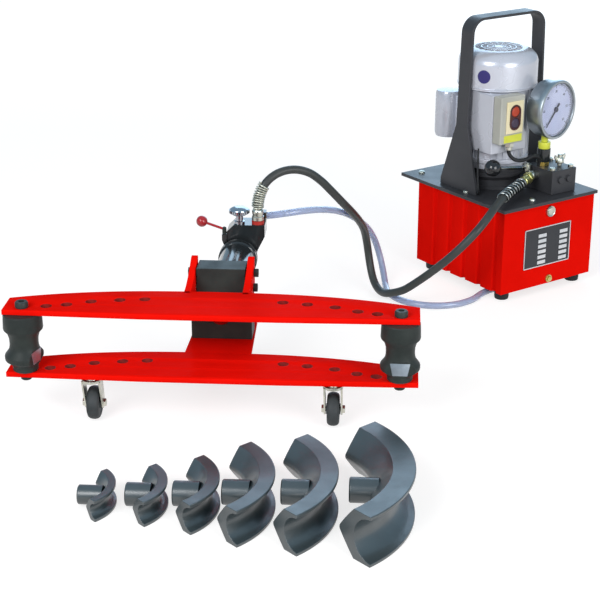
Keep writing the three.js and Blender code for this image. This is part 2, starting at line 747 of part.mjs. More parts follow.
function addFormers() {
  let ahead = former.firstAhead;
  pipeDiameters.forEach((pipeDiameter, i) => {
    const radius = former.bendRadii[i];
    const { whole, thickness, inner, section } = formerShape(pipeDiameter, radius);
    const groove = pipeDiameter / 2;
    const halfTurn = THREE.MathUtils.degToRad(former.halfTurnDeg);
    const sector = capped(whole, section, halfTurn);
    const hubHeight = Math.min(former.hubRadius, thickness / 2 - former.lip / 2);
    const hubEnd = inner - former.hubLength;
    const hub = barAlongX(hubHeight, hubEnd, inner + groove / 4, former.hubSideCount, 0, thickness / 2);
    const socketRadius = Math.min(former.socketRadius, hubHeight - former.lip / 2);
    const socketEnd = hubEnd + former.socketDepth;
    const socket = barAlongX(socketRadius, hubEnd - overrun, socketEnd, former.hubSideCount, 0, thickness / 2);
    const shape = cut(join(sector, hub), socket);
    if (i > 0) ahead += former.gaps[i - 1] + radius - hubEnd;
    shape.translate(ahead - radius, former.rowBack, 0);
    add(bender, `bending_former_${i + 1}`, shape, formerCast());
  });
}

// Levels and places that the pump's pieces share
const tankTop = rubberFoot.height + tank.height;
const coverBase = tankTop + seatGap;
const coverTop = coverBase + cover.thickness;
const motorBaseTop = coverTop + seatGap + motor.baseHeight;
const bodyBase = motorBaseTop + motor.bellHeight;
const bodyTop = bodyBase + motor.bodyHeight;
const shaftBore = rotorSize.shaftRadius + runningGap;

function tankOutline() {
  const points = [[0, 0], [tank.width, 0]];
  const pitch = (tank.depth - 2 * tank.ribMargin) / tank.ribCount;
  const side = [];
  for (let i = 0; i < tank.ribCount; i += 1) {
    const start = tank.ribMargin + pitch * i;
    tank.grooveShares.forEach(([deep, along]) => side.push([tank.ribDepth * deep, start + pitch * along]));
  }
  side.forEach(([inset, y]) => points.push([tank.width - inset, y]));
  points.push([tank.width, tank.depth], [0, tank.depth]);
  side.reverse().forEach(([inset, y]) => points.push([inset, y]));
  return points;
}

function addTank() {
  const outer = plate(tankOutline(), rubberFoot.height, tank.height);
  const margin = tank.ribDepth + tank.wall;
  const hollow = slab(
    margin, tank.width - margin, tank.wall, tank.depth - tank.wall,
    rubberFoot.height + tank.floor, tankTop + overrun,
  );
  add(pump, 'tank', cut(outer, hollow), redPaint());

  const far = { x: tank.width - rubberFoot.inset, y: tank.depth - rubberFoot.inset };
  const spots = [[rubberFoot.inset, rubberFoot.inset], [far.x, rubberFoot.inset], [rubberFoot.inset, far.y], [far.x, far.y]];
  spots.forEach(([x, y], i) => {
    add(pump, `rubber_foot_${i + 1}`, post(rubberFoot.radius, 0, rubberFoot.height - seatGap, medium, x, y), rubber());
  });

  const sheet = slab(
    -cover.lip, tank.width + cover.lip, -cover.lip, tank.depth + cover.rearLap, coverBase, coverTop,
  );
  const opening = post(pumpUnit.radius / 2, coverBase - overrun, coverTop + overrun, medium, motor.x, motor.y);
  add(pump, 'tank_cover', cut(sheet, opening), blackPaint());

  const sightHeight = tankTop - sightPlug.fromTop;
  const sight = turnedAlongY([
    [0, -sightPlug.proud + sightPlug.rim],
    [sightPlug.rimRadius, -sightPlug.proud + sightPlug.rim],
    [sightPlug.rimRadius, -sightPlug.proud],
    [sightPlug.radius, -sightPlug.proud],
    [sightPlug.radius, -seatGap],
    [0, -seatGap],
  ], medium).translate(sightPlug.x, 0, sightHeight);
  add(pump, 'sight_plug', sight, zinc());

  const drainHeight = rubberFoot.height + drainPlug.rise;
  const collar = barAlongY(drainPlug.radius, -drainPlug.proud / 2, -seatGap, coarse, drainPlug.x, drainHeight);
  const head = barAlongY(drainPlug.headRadius, -drainPlug.proud, -seatGap, coarse / 2, drainPlug.x, drainHeight);
  add(pump, 'drain_plug', join(collar, head), zinc());

  const pumpTop = coverBase - seatGap;
  const pumpBase = pumpTop - pumpUnit.height;
  const strainer = post(
    pumpUnit.strainerRadius, pumpBase - pumpUnit.strainerHeight, pumpBase + overrun, medium, motor.x, motor.y,
  );
  const unit = post(pumpUnit.radius, pumpBase, pumpTop, fine, motor.x, motor.y);
  const driveBore = post(shaftBore, pumpTop - pumpUnit.height / 2, pumpTop + overrun, medium, motor.x, motor.y);
  add(pump, 'piston_pump', cut(join(unit, strainer), driveBore), steel());

  const elbowBlock = slab(
    elbow.start, elbow.start + elbow.width, elbow.side - elbow.depth / 2, elbow.side + elbow.depth / 2,
    elbow.lift, rubberFoot.height - seatGap,
  );
  add(pump, 'return_elbow', elbowBlock, zinc());
}

function ribbedRing(radius, ribHeight, ribCount) {
  const points = [];
  for (let i = 0; i < ribCount; i += 1) {
    for (const [share, r] of [[0, radius], [0.3, radius], [0.45, radius + ribHeight], [0.85, radius + ribHeight]]) {
      const angle = (2 * Math.PI * (i + share)) / ribCount;
      points.push([r * Math.cos(angle), r * Math.sin(angle)]);
    }
  }
  return points;
}

function addMotor() {
  const base = coverTop + seatGap;
  const baseRing = turned([
    [shaftBore, base],
    [motor.baseRadius, base],
    [motor.baseRadius, motorBaseTop - motor.bellHeight / 2],
    [motor.bellRadius, motorBaseTop],
    [motor.bellRadius, bodyBase - seatGap],
    [shaftBore, bodyBase - seatGap],
    [shaftBore, base],
  ], fine);
  add(pump, 'motor_base', baseRing.translate(motor.x, motor.y, 0), blackPaint());

  const shell = plate(ribbedRing(motor.bodyRadius, motor.ribHeight, motor.ribCount), bodyBase, motor.bodyHeight);
  const statorBore = post(motor.stator, bodyBase + motor.wall, bodyTop - motor.wall, medium);
  const throughBore = post(shaftBore, bodyBase - overrun, bodyTop + overrun, medium);
  const body = cut(shell, statorBore, throughBore);
  add(pump, 'motor_body', body.translate(motor.x, motor.y, 0), greyPaint());

  const cowlBase = bodyTop - cowl.lap;
  const cowlTop = cowlBase + cowl.height;
  const innerTop = cowlTop - cowl.thickness;
  const inner = cowl.radius - cowl.thickness;
  const dome = (wide, narrow, top) => [0, 1, 2, 3].map((i) => {
    const angle = (Math.PI / 6) * i;
    return [narrow + (wide - narrow) * Math.cos(angle), top - cowl.shoulder * (1 - Math.sin(angle))];
  });
  const shellRing = turned([
    [inner, cowlBase],
    [cowl.radius, cowlBase],
    ...dome(cowl.radius, cowl.topRadius, cowlTop),
    [0, cowlTop],
    [0, innerTop],
    ...dome(inner, cowl.topRadius - cowl.thickness / 2, innerTop).reverse(),
    [inner, cowlBase],
  ], fine);
  const slots = [];
  for (let i = 0; i < cowl.slotCount; i += 1) {
    const slot = slab(
      cowlSlot.inner, cowlSlot.inner + cowlSlot.length, -cowlSlot.width / 2, cowlSlot.width / 2,
      innerTop - overrun, cowlTop + overrun,
    );
    slots.push(slot.rotateZ((2 * Math.PI * i) / cowl.slotCount));
  }
  const feet = slab(-inner - overrun / 2, inner + overrun / 2, -cowl.lap, cowl.lap, bodyTop + seatGap, bodyTop + cowl.lap);
  const clear = post(rotorSize.coreRadius, bodyTop - overrun, bodyTop + cowl.height / 2, medium);
  add(pump, 'fan_cowl', join(cut(shellRing, ...slots), cut(feet, clear)).translate(motor.x, motor.y, 0), greyPaint());

  const coreBase = bodyBase + motor.wall + rotorSize.coreRoom;
  const coreTop = bodyTop - motor.wall - rotorSize.coreRoom;
  const fanBase = bodyTop + rotorSize.fanRise;
  const shaftBase = tankTop - pumpUnit.height / 3;
  const rotor = turned([
    [0, shaftBase],
    [rotorSize.shaftRadius, shaftBase],
    [rotorSize.shaftRadius, coreBase],
    [rotorSize.coreRadius, coreBase],
    [rotorSize.coreRadius, coreTop],
    [rotorSize.shaftRadius, coreTop],
    [rotorSize.shaftRadius, fanBase],
    [rotorSize.fanRadius, fanBase],
    [rotorSize.fanRadius, fanBase + rotorSize.fanThickness],
    [0, fanBase + rotorSize.fanThickness],
  ], medium);
  add(pump, 'rotor_and_fan', rotor.translate(motor.x, motor.y, 0), steel());
}

function addMotorBoxes() {
  const clearMotor = post(
    motor.bodyRadius + motor.ribHeight + seatGap, bodyBase - motor.bodyHeight, bodyTop + motor.bodyHeight,
    fine * 2, motor.x, motor.y,
  );
  const canBase = coverTop + capacitor.rise;
  const canTop = canBase + capacitor.height;
  const can = turned([
    [0, canBase],
    [capacitor.radius - capacitor.round, canBase],
    [capacitor.radius, canBase + capacitor.round],
    [capacitor.radius, canTop - capacitor.round],
    [capacitor.radius - capacitor.round, canTop],
    [0, canTop],
  ], fine).translate(capacitor.x, capacitor.y, 0);
  const bridge = slab(0, Math.hypot(motor.x - capacitor.x, motor.y - capacitor.y), -capacitor.saddle / 2,
    capacitor.saddle / 2, canBase + capacitor.round, canTop - capacitor.round);
  bridge.rotateZ(Math.atan2(motor.y - capacitor.y, motor.x - capacitor.x));
  bridge.translate(capacitor.x, capacitor.y, 0);
  add(pump, 'capacitor_housing', cut(join(can, bridge), clearMotor), greyPaint());

  const houseBase = coverTop + terminal.rise;
  const house = slab(terminal.left, terminal.right, terminal.front, motor.y, houseBase, houseBase + terminal.height);
  add(pump, 'terminal_housing', cut(house, clearMotor), greyPaint());

  const boxBack = terminal.front - seatGap;
  const boxFront = boxBack - switchBox.depth;
  const boxBase = coverTop + switchBox.rise;
  const shell = slab(
    switchBox.left, switchBox.left + switchBox.width, boxFront, boxBack, boxBase, boxBase + switchBox.height,
  );
  const buttonX = switchBox.left + button.across;
  const heights = [boxBase + button.lift + button.pitch, boxBase + button.lift];
  const wells = heights.map((z) => barAlongY(
    button.radius + runningGap, boxFront - overrun, boxFront + button.length + button.stroke, medium, buttonX, z,
  ));
  add(pump, 'switch_box', cut(shell, ...wells), palePlastic());
  ['stop_button', 'start_button'].forEach((name, i) => {
    const end = boxFront - button.proud + button.length;
    const cap = barAlongY(button.radius, boxFront - button.proud, end, medium, buttonX, heights[i]);
    add(pump, name, cap, i === 0 ? finish('#b5442e', 0.4, 0) : finish('#3e3440', 0.4, 0));
  });
}

function addValves() {
  const base = coverTop + seatGap;
  const top = base + valveBlock.height;
  const right = valveBlock.left + valveBlock.width;
  const shape = slab(valveBlock.left, right, valveBlock.front, valveBlock.front + valveBlock.depth, base, top);
  add(pump, 'valve_block', shape, blackPaint());

  const wingBase = top + seatGap + adjuster.stemHeight;
  const screw = post(adjuster.stemRadius, top + seatGap, wingBase + adjuster.wingHeight, coarse);
  const wings = slab(
    -adjuster.wingHalf, adjuster.wingHalf, -adjuster.wingThickness / 2, adjuster.wingThickness / 2,
    wingBase, wingBase + adjuster.wingHeight,
  );
  const nut = post(adjuster.stemRadius * 2, wingBase - adjuster.stemRadius, wingBase + adjuster.stemRadius, coarse);
  add(pump, 'pressure_adjuster', join(screw, wings, nut).translate(adjuster.x, adjuster.y, 0), zinc());

  const hubX = valveBlock.left - seatGap - control.hubRadius;
  const hubTop = base + control.rise + control.hubHeight / 2;
  const hub = post(control.hubRadius, hubTop - control.hubHeight, hubTop, coarse, hubX, control.y);
  const root = new THREE.Vector3(hubX, control.y, base + control.rise);
  const knobPoint = new THREE.Vector3(controlKnob.x, controlKnob.y, base + controlKnob.rise);
  const rod = rodBetween(root, knobPoint, control.rodRadius, coarse / 2);
  const knob = new THREE.SphereGeometry(control.knobRadius, medium, coarse * 0.75);
  knob.translate(knobPoint.x, knobPoint.y, knobPoint.z);
  add(pump, 'control_lever', join(hub, rod, knob), blackPlastic());
}

function addGauge() {
  const axis = coverTop + gauge.axisRise;
  const rear = gauge.front + gauge.depth;
  const dialFace = gauge.front + gauge.dialDepth;
  const stemY = gauge.front + gauge.stemBack;
  const turn = THREE.MathUtils.degToRad(gauge.turnDeg);
  const onStem = (shape) => shape.translate(0, -stemY, axis).rotateZ(turn).translate(gauge.x, stemY, 0);
  const caseShape = turnedAlongY([
    [0, dialFace],
    [gauge.radius - gauge.wall, dialFace],
    [gauge.radius - gauge.wall, gauge.front],
    [gauge.rimRadius, gauge.front],
    [gauge.rimRadius, gauge.front + gauge.rimDepth],
    [gauge.radius, gauge.front + gauge.rimDepth],
    [gauge.radius, rear - gauge.wall],
    [gauge.radius - gauge.wall, rear],
    [0, rear],
  ], fine);
  add(pump, 'gauge_case', onStem(caseShape), steel());

  const needleBack = dialFace - needle.dialGap;
  const needleFront = needleBack - needle.thickness;
  const hub = barAlongY(needle.hubRadius, needleFront - needle.thickness, dialFace - seatGap, coarse, 0, 0);
  const pointer = new THREE.Shape([
    new THREE.Vector2(-needle.halfWidth, -needle.tail),
    new THREE.Vector2(needle.halfWidth, -needle.tail),
    new THREE.Vector2(needle.halfWidth / 3, needle.length),
    new THREE.Vector2(-needle.halfWidth / 3, needle.length),
  ]);
  const blade = new THREE.ExtrudeGeometry(pointer, { depth: needle.thickness, bevelEnabled: false });
  blade.rotateX(Math.PI / 2).translate(0, needleBack, 0);
  const whole = join(hub, blade).rotateY(Math.PI + THREE.MathUtils.degToRad(needleRestDeg));
  add(pump, 'gauge_needle', onStem(whole), blackPlastic());

  const stemBase = coverTop + seatGap + valveBlock.height + seatGap;
  const sleeveBase = stemBase + stem.hexHeight;
  const bandBase = sleeveBase + stem.sleeveHeight;
  const neckBase = bandBase + stem.bandHeight;
  const stemShape = turned([
    [0, stemBase],
    [stem.hexRadius, stemBase],
    [stem.hexRadius, sleeveBase],
    [stem.sleeveRadius, sleeveBase],
    [stem.sleeveRadius, bandBase],
    [stem.hexRadius, bandBase],
    [stem.hexRadius, neckBase],
    [stem.neckRadius, neckBase],
    [stem.neckRadius, axis],
    [0, axis],
  ], medium).translate(gauge.x, stemY, 0);
  const clearCase = onStem(barAlongY(gauge.radius + seatGap, gauge.front, rear + overrun, fine * 2, 0, 0));
  add(pump, 'gauge_stem', cut(stemShape, clearCase), blackPaint());
}

function addHandle() {
  const base = coverTop + seatGap;
  const top = base + handle.rise;
  const flareTop = base + handle.flareRise;
  const halfBar = handle.barWidth / 2;
  const outer = [
    [-handle.footHalf, base],
    [-handle.topHalf, top - handle.shoulder],
    [-handle.topHalf + handle.shoulder / 4, top - handle.shoulder / 4],
    [-handle.topHalf + handle.shoulder, top],
    [handle.topHalf - handle.shoulder, top],
    [handle.topHalf - handle.shoulder / 4, top - handle.shoulder / 4],
    [handle.topHalf, top - handle.shoulder],
    [handle.footHalf, base],
  ];
  const t = handle.barThickness;
  const inner = [
    [handle.footHalf - t, base],
    [handle.topHalf - t, top - handle.shoulder],
    [handle.topHalf - handle.shoulder / 4 - t, top - handle.shoulder / 4 - t],
    [handle.topHalf - handle.shoulder, top - t],
    [-handle.topHalf + handle.shoulder, top - t],
    [-handle.topHalf + handle.shoulder / 4 + t, top - handle.shoulder / 4 - t],
    [-handle.topHalf + t, top - handle.shoulder],
    [-handle.footHalf + t, base],
  ];
  const wide = plate([...outer, ...inner], -handle.footLength / 2, handle.footLength).rotateX(Math.PI / 2);
  const waste = [];
  for (const side of [-1, 1]) {
    const far = side * handle.footLength;
    const outline = [
      [side * halfBar, top + overrun],
      [side * halfBar, flareTop],
      [(side * handle.footLength) / 2, base + handle.baseWidth / 2],
      [(side * handle.footLength) / 2, base],
      [far, base],
      [far, top + overrun],
    ];
    const profile = plate(outline, -handle.footHalf - overrun, (handle.footHalf + overrun) * 2);
    waste.push(profile.rotateY(Math.PI / 2).rotateX(Math.PI / 2));
  }
  const bar = cut(wide, ...waste).translate(motor.x + handle.ahead, motor.y, 0);
  add(pump, 'carry_handle', bar, blackPaint());
}

// Hoses and guards
function curveThrough(route) {
  return new THREE.CatmullRomCurve3(route.map(([x, y, z]) => new THREE.Vector3(x, y, z)));
}

function guardPath(curve, start, { length, wireRadius, curlCount }, reference) {
  const total = curve.getLength();
  const radius = pressureLine.radius + guardWire.hoseGap + wireRadius;
  const lead = 2 * wireRadius;
  const points = [];
  const ringPoint = (distance, angle) => {
    const share = THREE.MathUtils.clamp(distance / total, 0, 1);
    const centre = curve.getPointAt(share);
    const along = curve.getTangentAt(share);
    const side = new THREE.Vector3().crossVectors(along, reference).normalize();
    const other = new THREE.Vector3().crossVectors(along, side).normalize();
    return centre.addScaledVector(side, radius * Math.cos(angle)).addScaledVector(other, radius * Math.sin(angle));
  };
  points.push(ringPoint(start, 0), ringPoint(start + lead / 2, 0));
  const steps = curlCount * guardWire.stepsPerCurl;
  for (let i = 0; i <= steps; i += 1) {
    const share = i / steps;
    points.push(ringPoint(start + lead + (length - 2 * lead) * share, 2 * Math.PI * curlCount * share));
  }
  points.push(ringPoint(start + length - lead / 2, 0), ringPoint(start + length, 0));
  return { points, steps };
}

function leastGap(points, stepsPerCurl, thickness) {
  let least = Infinity;
  for (let i = 0; i < points.length; i += 1) {
    for (let j = i + stepsPerCurl - 2; j < points.length; j += 1) {
      least = Math.min(least, points[i].distanceTo(points[j]) - thickness);
    }
  }
  return least;
}

function addGuard(name, curve, start, size, reference, material) {
  const { points, steps } = guardPath(curve, start, size, reference);
  const path = new THREE.CatmullRomCurve3(points);
  const wire = tubeAlong(path, size.wireRadius, guardWire.sideCount, steps + 4);
  const gap = leastGap(path.getSpacedPoints(steps * 4), guardWire.stepsPerCurl * 4, 2 * size.wireRadius);
  console.log(`${name}: least gap between curls ${gap.toFixed(2)} mm`);
  cords.add(add(bender, name, wire, material));
}

function addHoses() {
  const pressure = curveThrough(pressureRoute);
  const back = curveThrough(returnRoute);
  const pressureTube = tubeAlong(pressure, pressureLine.radius, pressureLine.sideCount, pressureLine.stepCount);
  const returnTube = tubeAlong(back, returnLine.radius, returnLine.sideCount, returnLine.stepCount);
  cords.add(add(bender, 'pressure_hose', pressureTube, hoseRubber()));
  cords.add(add(bender, 'return_hose', returnTube, clearHose()));
  console.log(`pressure hose ${pressure.getLength().toFixed(0)} mm, return hose ${back.getLength().toFixed(0)} mm`);

  const sideways = new THREE.Vector3(0, 1, 0);
  addGuard('hose_guard_cylinder', pressure, seatGap, cylinderGuard, sideways, zinc());
  const pumpStart = pressure.getLength() - pumpGuard.length - seatGap;
  addGuard('hose_guard_pump', pressure, pumpStart, pumpGuard, new THREE.Vector3(0, 0, 1), steel());
}

function addPumpFitting() {
  const turn = THREE.MathUtils.degToRad(pumpPlace.turnDeg);
  const place = new THREE.Vector3(valveBlock.left - fitting.standoff, fitting.y, coverTop + fitting.height);
  const centre = place.clone().applyAxisAngle(new THREE.Vector3(0, 0, 1), turn);
  centre.add(new THREE.Vector3(pumpPlace.x, pumpPlace.y, 0));
  const hoseEnd = new THREE.Vector3(...pressureRoute.at(-1));
  const away = new THREE.Vector3().subVectors(hoseEnd, centre).normalize();
  const nutFrom = centre.clone().addScaledVector(away, fitting.nutStart);
  const nutTo = hoseEnd.clone().addScaledVector(away, -seatGap);
  const ball = new THREE.SphereGeometry(fitting.ballRadius, coarse, coarse / 2).translate(centre.x, centre.y, centre.z);
  const nut = rodBetween(nutFrom, nutTo, fitting.nutRadius, 6);
  const across = new THREE.Vector3(1, 0, 0).applyAxisAngle(new THREE.Vector3(0, 0, 1), turn);
  const face = centre.clone().addScaledVector(across, fitting.standoff - seatGap);
  const nipple = rodBetween(centre, face, fitting.ballRadius - overrun, coarse);
  add(bender, 'pump_hose_fitting', join(ball, nut, nipple), zinc());
}

addWings();
addCylinder();
addValveEnd();
addEarBolts();
addPinsAndShoes();
addCasters();
addFormers();
addTank();
addMotor();
addMotorBoxes();
addValves();
addGauge();
addHandle();
addHoses();
addPumpFitting();

// The pump stands turned beside the bender, and the origin is the middle of the floor it all covers
pump.position.set(pumpPlace.x, pumpPlace.y, 0);
pump.rotation.z = THREE.MathUtils.degToRad(pumpPlace.turnDeg);
const assembly = new THREE.Group();
assembly.add(bender, pump);
assembly.updateMatrixWorld(true);
const bounds = new THREE.Box3();
assembly.traverse((piece) => {
  if (piece.isMesh && !cords.has(piece)) bounds.expandByObject(piece, true);
});
const middle = bounds.getCenter(new THREE.Vector3());
assembly.position.set(-middle.x, -middle.y, -bounds.min.z);
const pipeBender = new THREE.Group();
pipeBender.add(assembly);
pipeBender.updateMatrixWorld(true);

export default pipeBender;
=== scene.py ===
"""Looks of an electro-hydraulic pipe bender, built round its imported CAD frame."""
import logging
import math
from dataclasses import dataclass
from enum import Enum
from functools import cache, partial
from typing import Iterable, Sequence

import bmesh
import bpy
from mathutils import Matrix, Vector


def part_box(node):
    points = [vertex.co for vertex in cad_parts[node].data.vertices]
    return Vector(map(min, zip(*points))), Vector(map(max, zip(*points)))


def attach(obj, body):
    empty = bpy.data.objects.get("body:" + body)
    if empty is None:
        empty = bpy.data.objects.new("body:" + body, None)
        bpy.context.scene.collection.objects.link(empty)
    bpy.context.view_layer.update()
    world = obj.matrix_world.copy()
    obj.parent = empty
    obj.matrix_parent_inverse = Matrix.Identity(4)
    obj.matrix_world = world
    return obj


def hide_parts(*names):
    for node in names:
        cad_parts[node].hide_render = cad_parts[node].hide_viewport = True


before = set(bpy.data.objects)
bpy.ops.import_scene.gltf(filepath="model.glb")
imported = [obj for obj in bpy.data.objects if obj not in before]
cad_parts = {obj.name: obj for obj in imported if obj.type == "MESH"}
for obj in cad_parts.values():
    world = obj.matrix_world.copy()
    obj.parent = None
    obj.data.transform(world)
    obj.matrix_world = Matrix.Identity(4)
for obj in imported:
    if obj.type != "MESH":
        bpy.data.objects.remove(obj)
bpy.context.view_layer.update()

LOG = logging.getLogger("pipe_bender")
MM = 0.001
# Edges flatter than the first are shaded round, and those steeper than the second are broken
SMOOTH_DEG = 35
BREAK_DEG = 30
ROOT = "bender_and_pump"
Pair = tuple[float, float]
# Radius and height pairs, or corners, in millimetres
Profile = tuple[Pair, ...]
Point = tuple[float, float, float]
Socket = bpy.types.NodeSocket

# Hose routes in millimetres, the same points as in the part's source
PRESSURE_ROUTE: list[Point] = [
    (32, 415, 208.4), (32.6, 415.1, 220.6), (39.2, 418.6, 241.8), (52.4, 425.6, 257.8), (71.1, 435.1, 267),
    (93.2, 445.6, 267.8), (115.5, 456, 259.6), (134.7, 466, 243), (149.8, 477.3, 224.2),
    (168.9, 497.5, 197.1), (184.3, 521.8, 172.5), (195.8, 549, 149.4), (203.9, 576.9, 126.3),
    (207.7, 593.8, 108.7), (210.9, 605.5, 87.7), (214.2, 608.9, 64.2), (218.3, 603.3, 41.5),
    (223.9, 590, 23.1), (231.6, 571.2, 13.6), (242, 550.2, 12), (255.2, 531, 18.4), (279, 510.9, 32.8),
    (304, 497.5, 54.9), (328.5, 484.9, 79.1), (352.2, 473.1, 104.5), (376.3, 466.6, 131.4),
    (400.6, 472.5, 157.7), (414.8, 485.7, 172), (426.3, 504.8, 181.8), (436, 526.5, 187.8),
    (450.9, 559.7, 193.1), (468.2, 591.8, 196.8), (480.3, 613, 199.2), (486.2, 623.6, 200.5),
]
RETURN_ROUTE: list[Point] = [
    (44.7, 437, 189), (56.8, 437.6, 190.2), (80.3, 443.3, 192.2), (102.2, 453.9, 192.7),
    (130.4, 476.6, 188.7), (152.6, 504.1, 179.4), (170.2, 533.3, 166.2), (185.2, 562.4, 150),
    (198.9, 590.7, 131.5), (207.4, 609.1, 118), (215.3, 626.3, 102.7), (223, 639.5, 84.1),
    (230.4, 644.7, 62.4), (236.9, 640.5, 40.3), (242, 627.4, 21.8), (245.5, 607.7, 9.9),
    (248.6, 584.3, 6.2), (253.9, 560.6, 6.6), (272.1, 529.7, 7.2), (302.6, 510.5, 6.6), (338.7, 506.1, 6.2),
    (373.5, 516.4, 6.2), (400.8, 540.1, 6.2), (419.3, 571.8, 6.2), (434.1, 590.9, 6.2), (453.1, 606.2, 6.2),
]


def linear(code: str) -> tuple[float, float, float, float]:
    """Turns an sRGB hex colour into the linear values that the shader takes.

    Args:
        code: the colour, such as "#dc1108".

    Returns:
        Red, green, blue and alpha, linear.
    """
    parts = [int(code[i:i + 2], 16) / 255 for i in (1, 3, 5)]
    r, g, b = [c / 12.92 if c <= 0.04045 else ((c + 0.055) / 1.055) ** 2.4 for c in parts]
    return r, g, b, 1.0


class Nodes:
    """A node tree, written with one call for each node."""

    def __init__(self, tree: bpy.types.NodeTree) -> None:
        """Starts on an emptied tree."""
        self.tree = tree
        tree.nodes.clear()

    def outs(self, kind: str) -> bpy.types.bpy_prop_collection:
        """Adds a node that takes nothing, and gives all its outputs."""
        return self.tree.nodes.new(kind).outputs

    def add(self, kind: str, values: dict | None = None, out: int | str = 0,
            **settings: object) -> Socket | None:
        """Adds a node, sets it up and links what feeds it.

        Args:
            kind: the node's type name.
            values: input name or number to a value or to the socket that feeds it.
            out: name or number of the output that is wanted.
            **settings: the node's own properties.

        Returns:
            The output, or None where the node has none.
        """
        made = self.tree.nodes.new(kind)
        for name, value in settings.items():
            setattr(made, name, value)
        for name, value in (values or {}).items():
            if isinstance(value, Socket):
                self.tree.links.new(value, made.inputs[name])
            else:
                made.inputs[name].default_value = value
        return made.outputs[out] if len(made.outputs) else None

    def math(self, operation: str, *terms: Socket | float) -> Socket:
        """Works out one sum."""
        return self.add("ShaderNodeMath", dict(enumerate(terms)), operation=operation)

    def vector(self, operation: str, values: dict) -> Socket:
        """Works out one sum on vectors."""
        return self.add("ShaderNodeVectorMath", values, operation=operation)

    def noise(self, where: Socket, scale: float, detail: float, **more: float) -> Socket:
        """Draws a noise from 0 to 1."""
        return self.add("ShaderNodeTexNoise", {"Vector": where, "Scale": scale, "Detail": detail, **more})

    def span(self, value: Socket, source: Pair, target: Pair = (0.0, 1.0)) -> Socket:
        """Stretches a value's span onto another, and stops it at the ends."""
        names = ("From Min", "From Max", "To Min", "To Max")
        return self.add("ShaderNodeMapRange", {"Value": value, **dict(zip(names, (*source, *target)))})

    def blend(self, share: Socket, first: Socket | tuple, second: Socket | tuple) -> Socket:
        """Mixes two colours."""
        return self.add("ShaderNodeMix", {0: share, 6: first, 7: second}, 2, data_type="RGBA")

    def dressed(self, geometry: Socket, finish: Socket) -> bpy.types.NodeTree:
        """Ends a geometry tree: the copies are made real and take their finish.

        Args:
            geometry: what the tree has made.
            finish: the socket that gives the material.

        Returns:
            The tree.
        """
        real = self.add("GeometryNodeRealizeInstances", {0: geometry})
        painted = self.add("GeometryNodeSetMaterial", {"Geometry": real, "Material": finish})
        self.add("NodeGroupOutput", {"Result": painted})
        return self.tree


class Grain(Enum):
    """How a surface's fine relief came about."""

    PEEL = "sprayed paint, with its slow ripple"
    CAST = "sand casting, with its pits"
    BRUSHED = "drawn or brushed along one way"
    TURNED = "turned on a lathe"
    MOULDED = "taken from a textured mould"
    WRAPPED = "cured in a wound tape, along the piece's own length"
    SMOOTH = "polished"


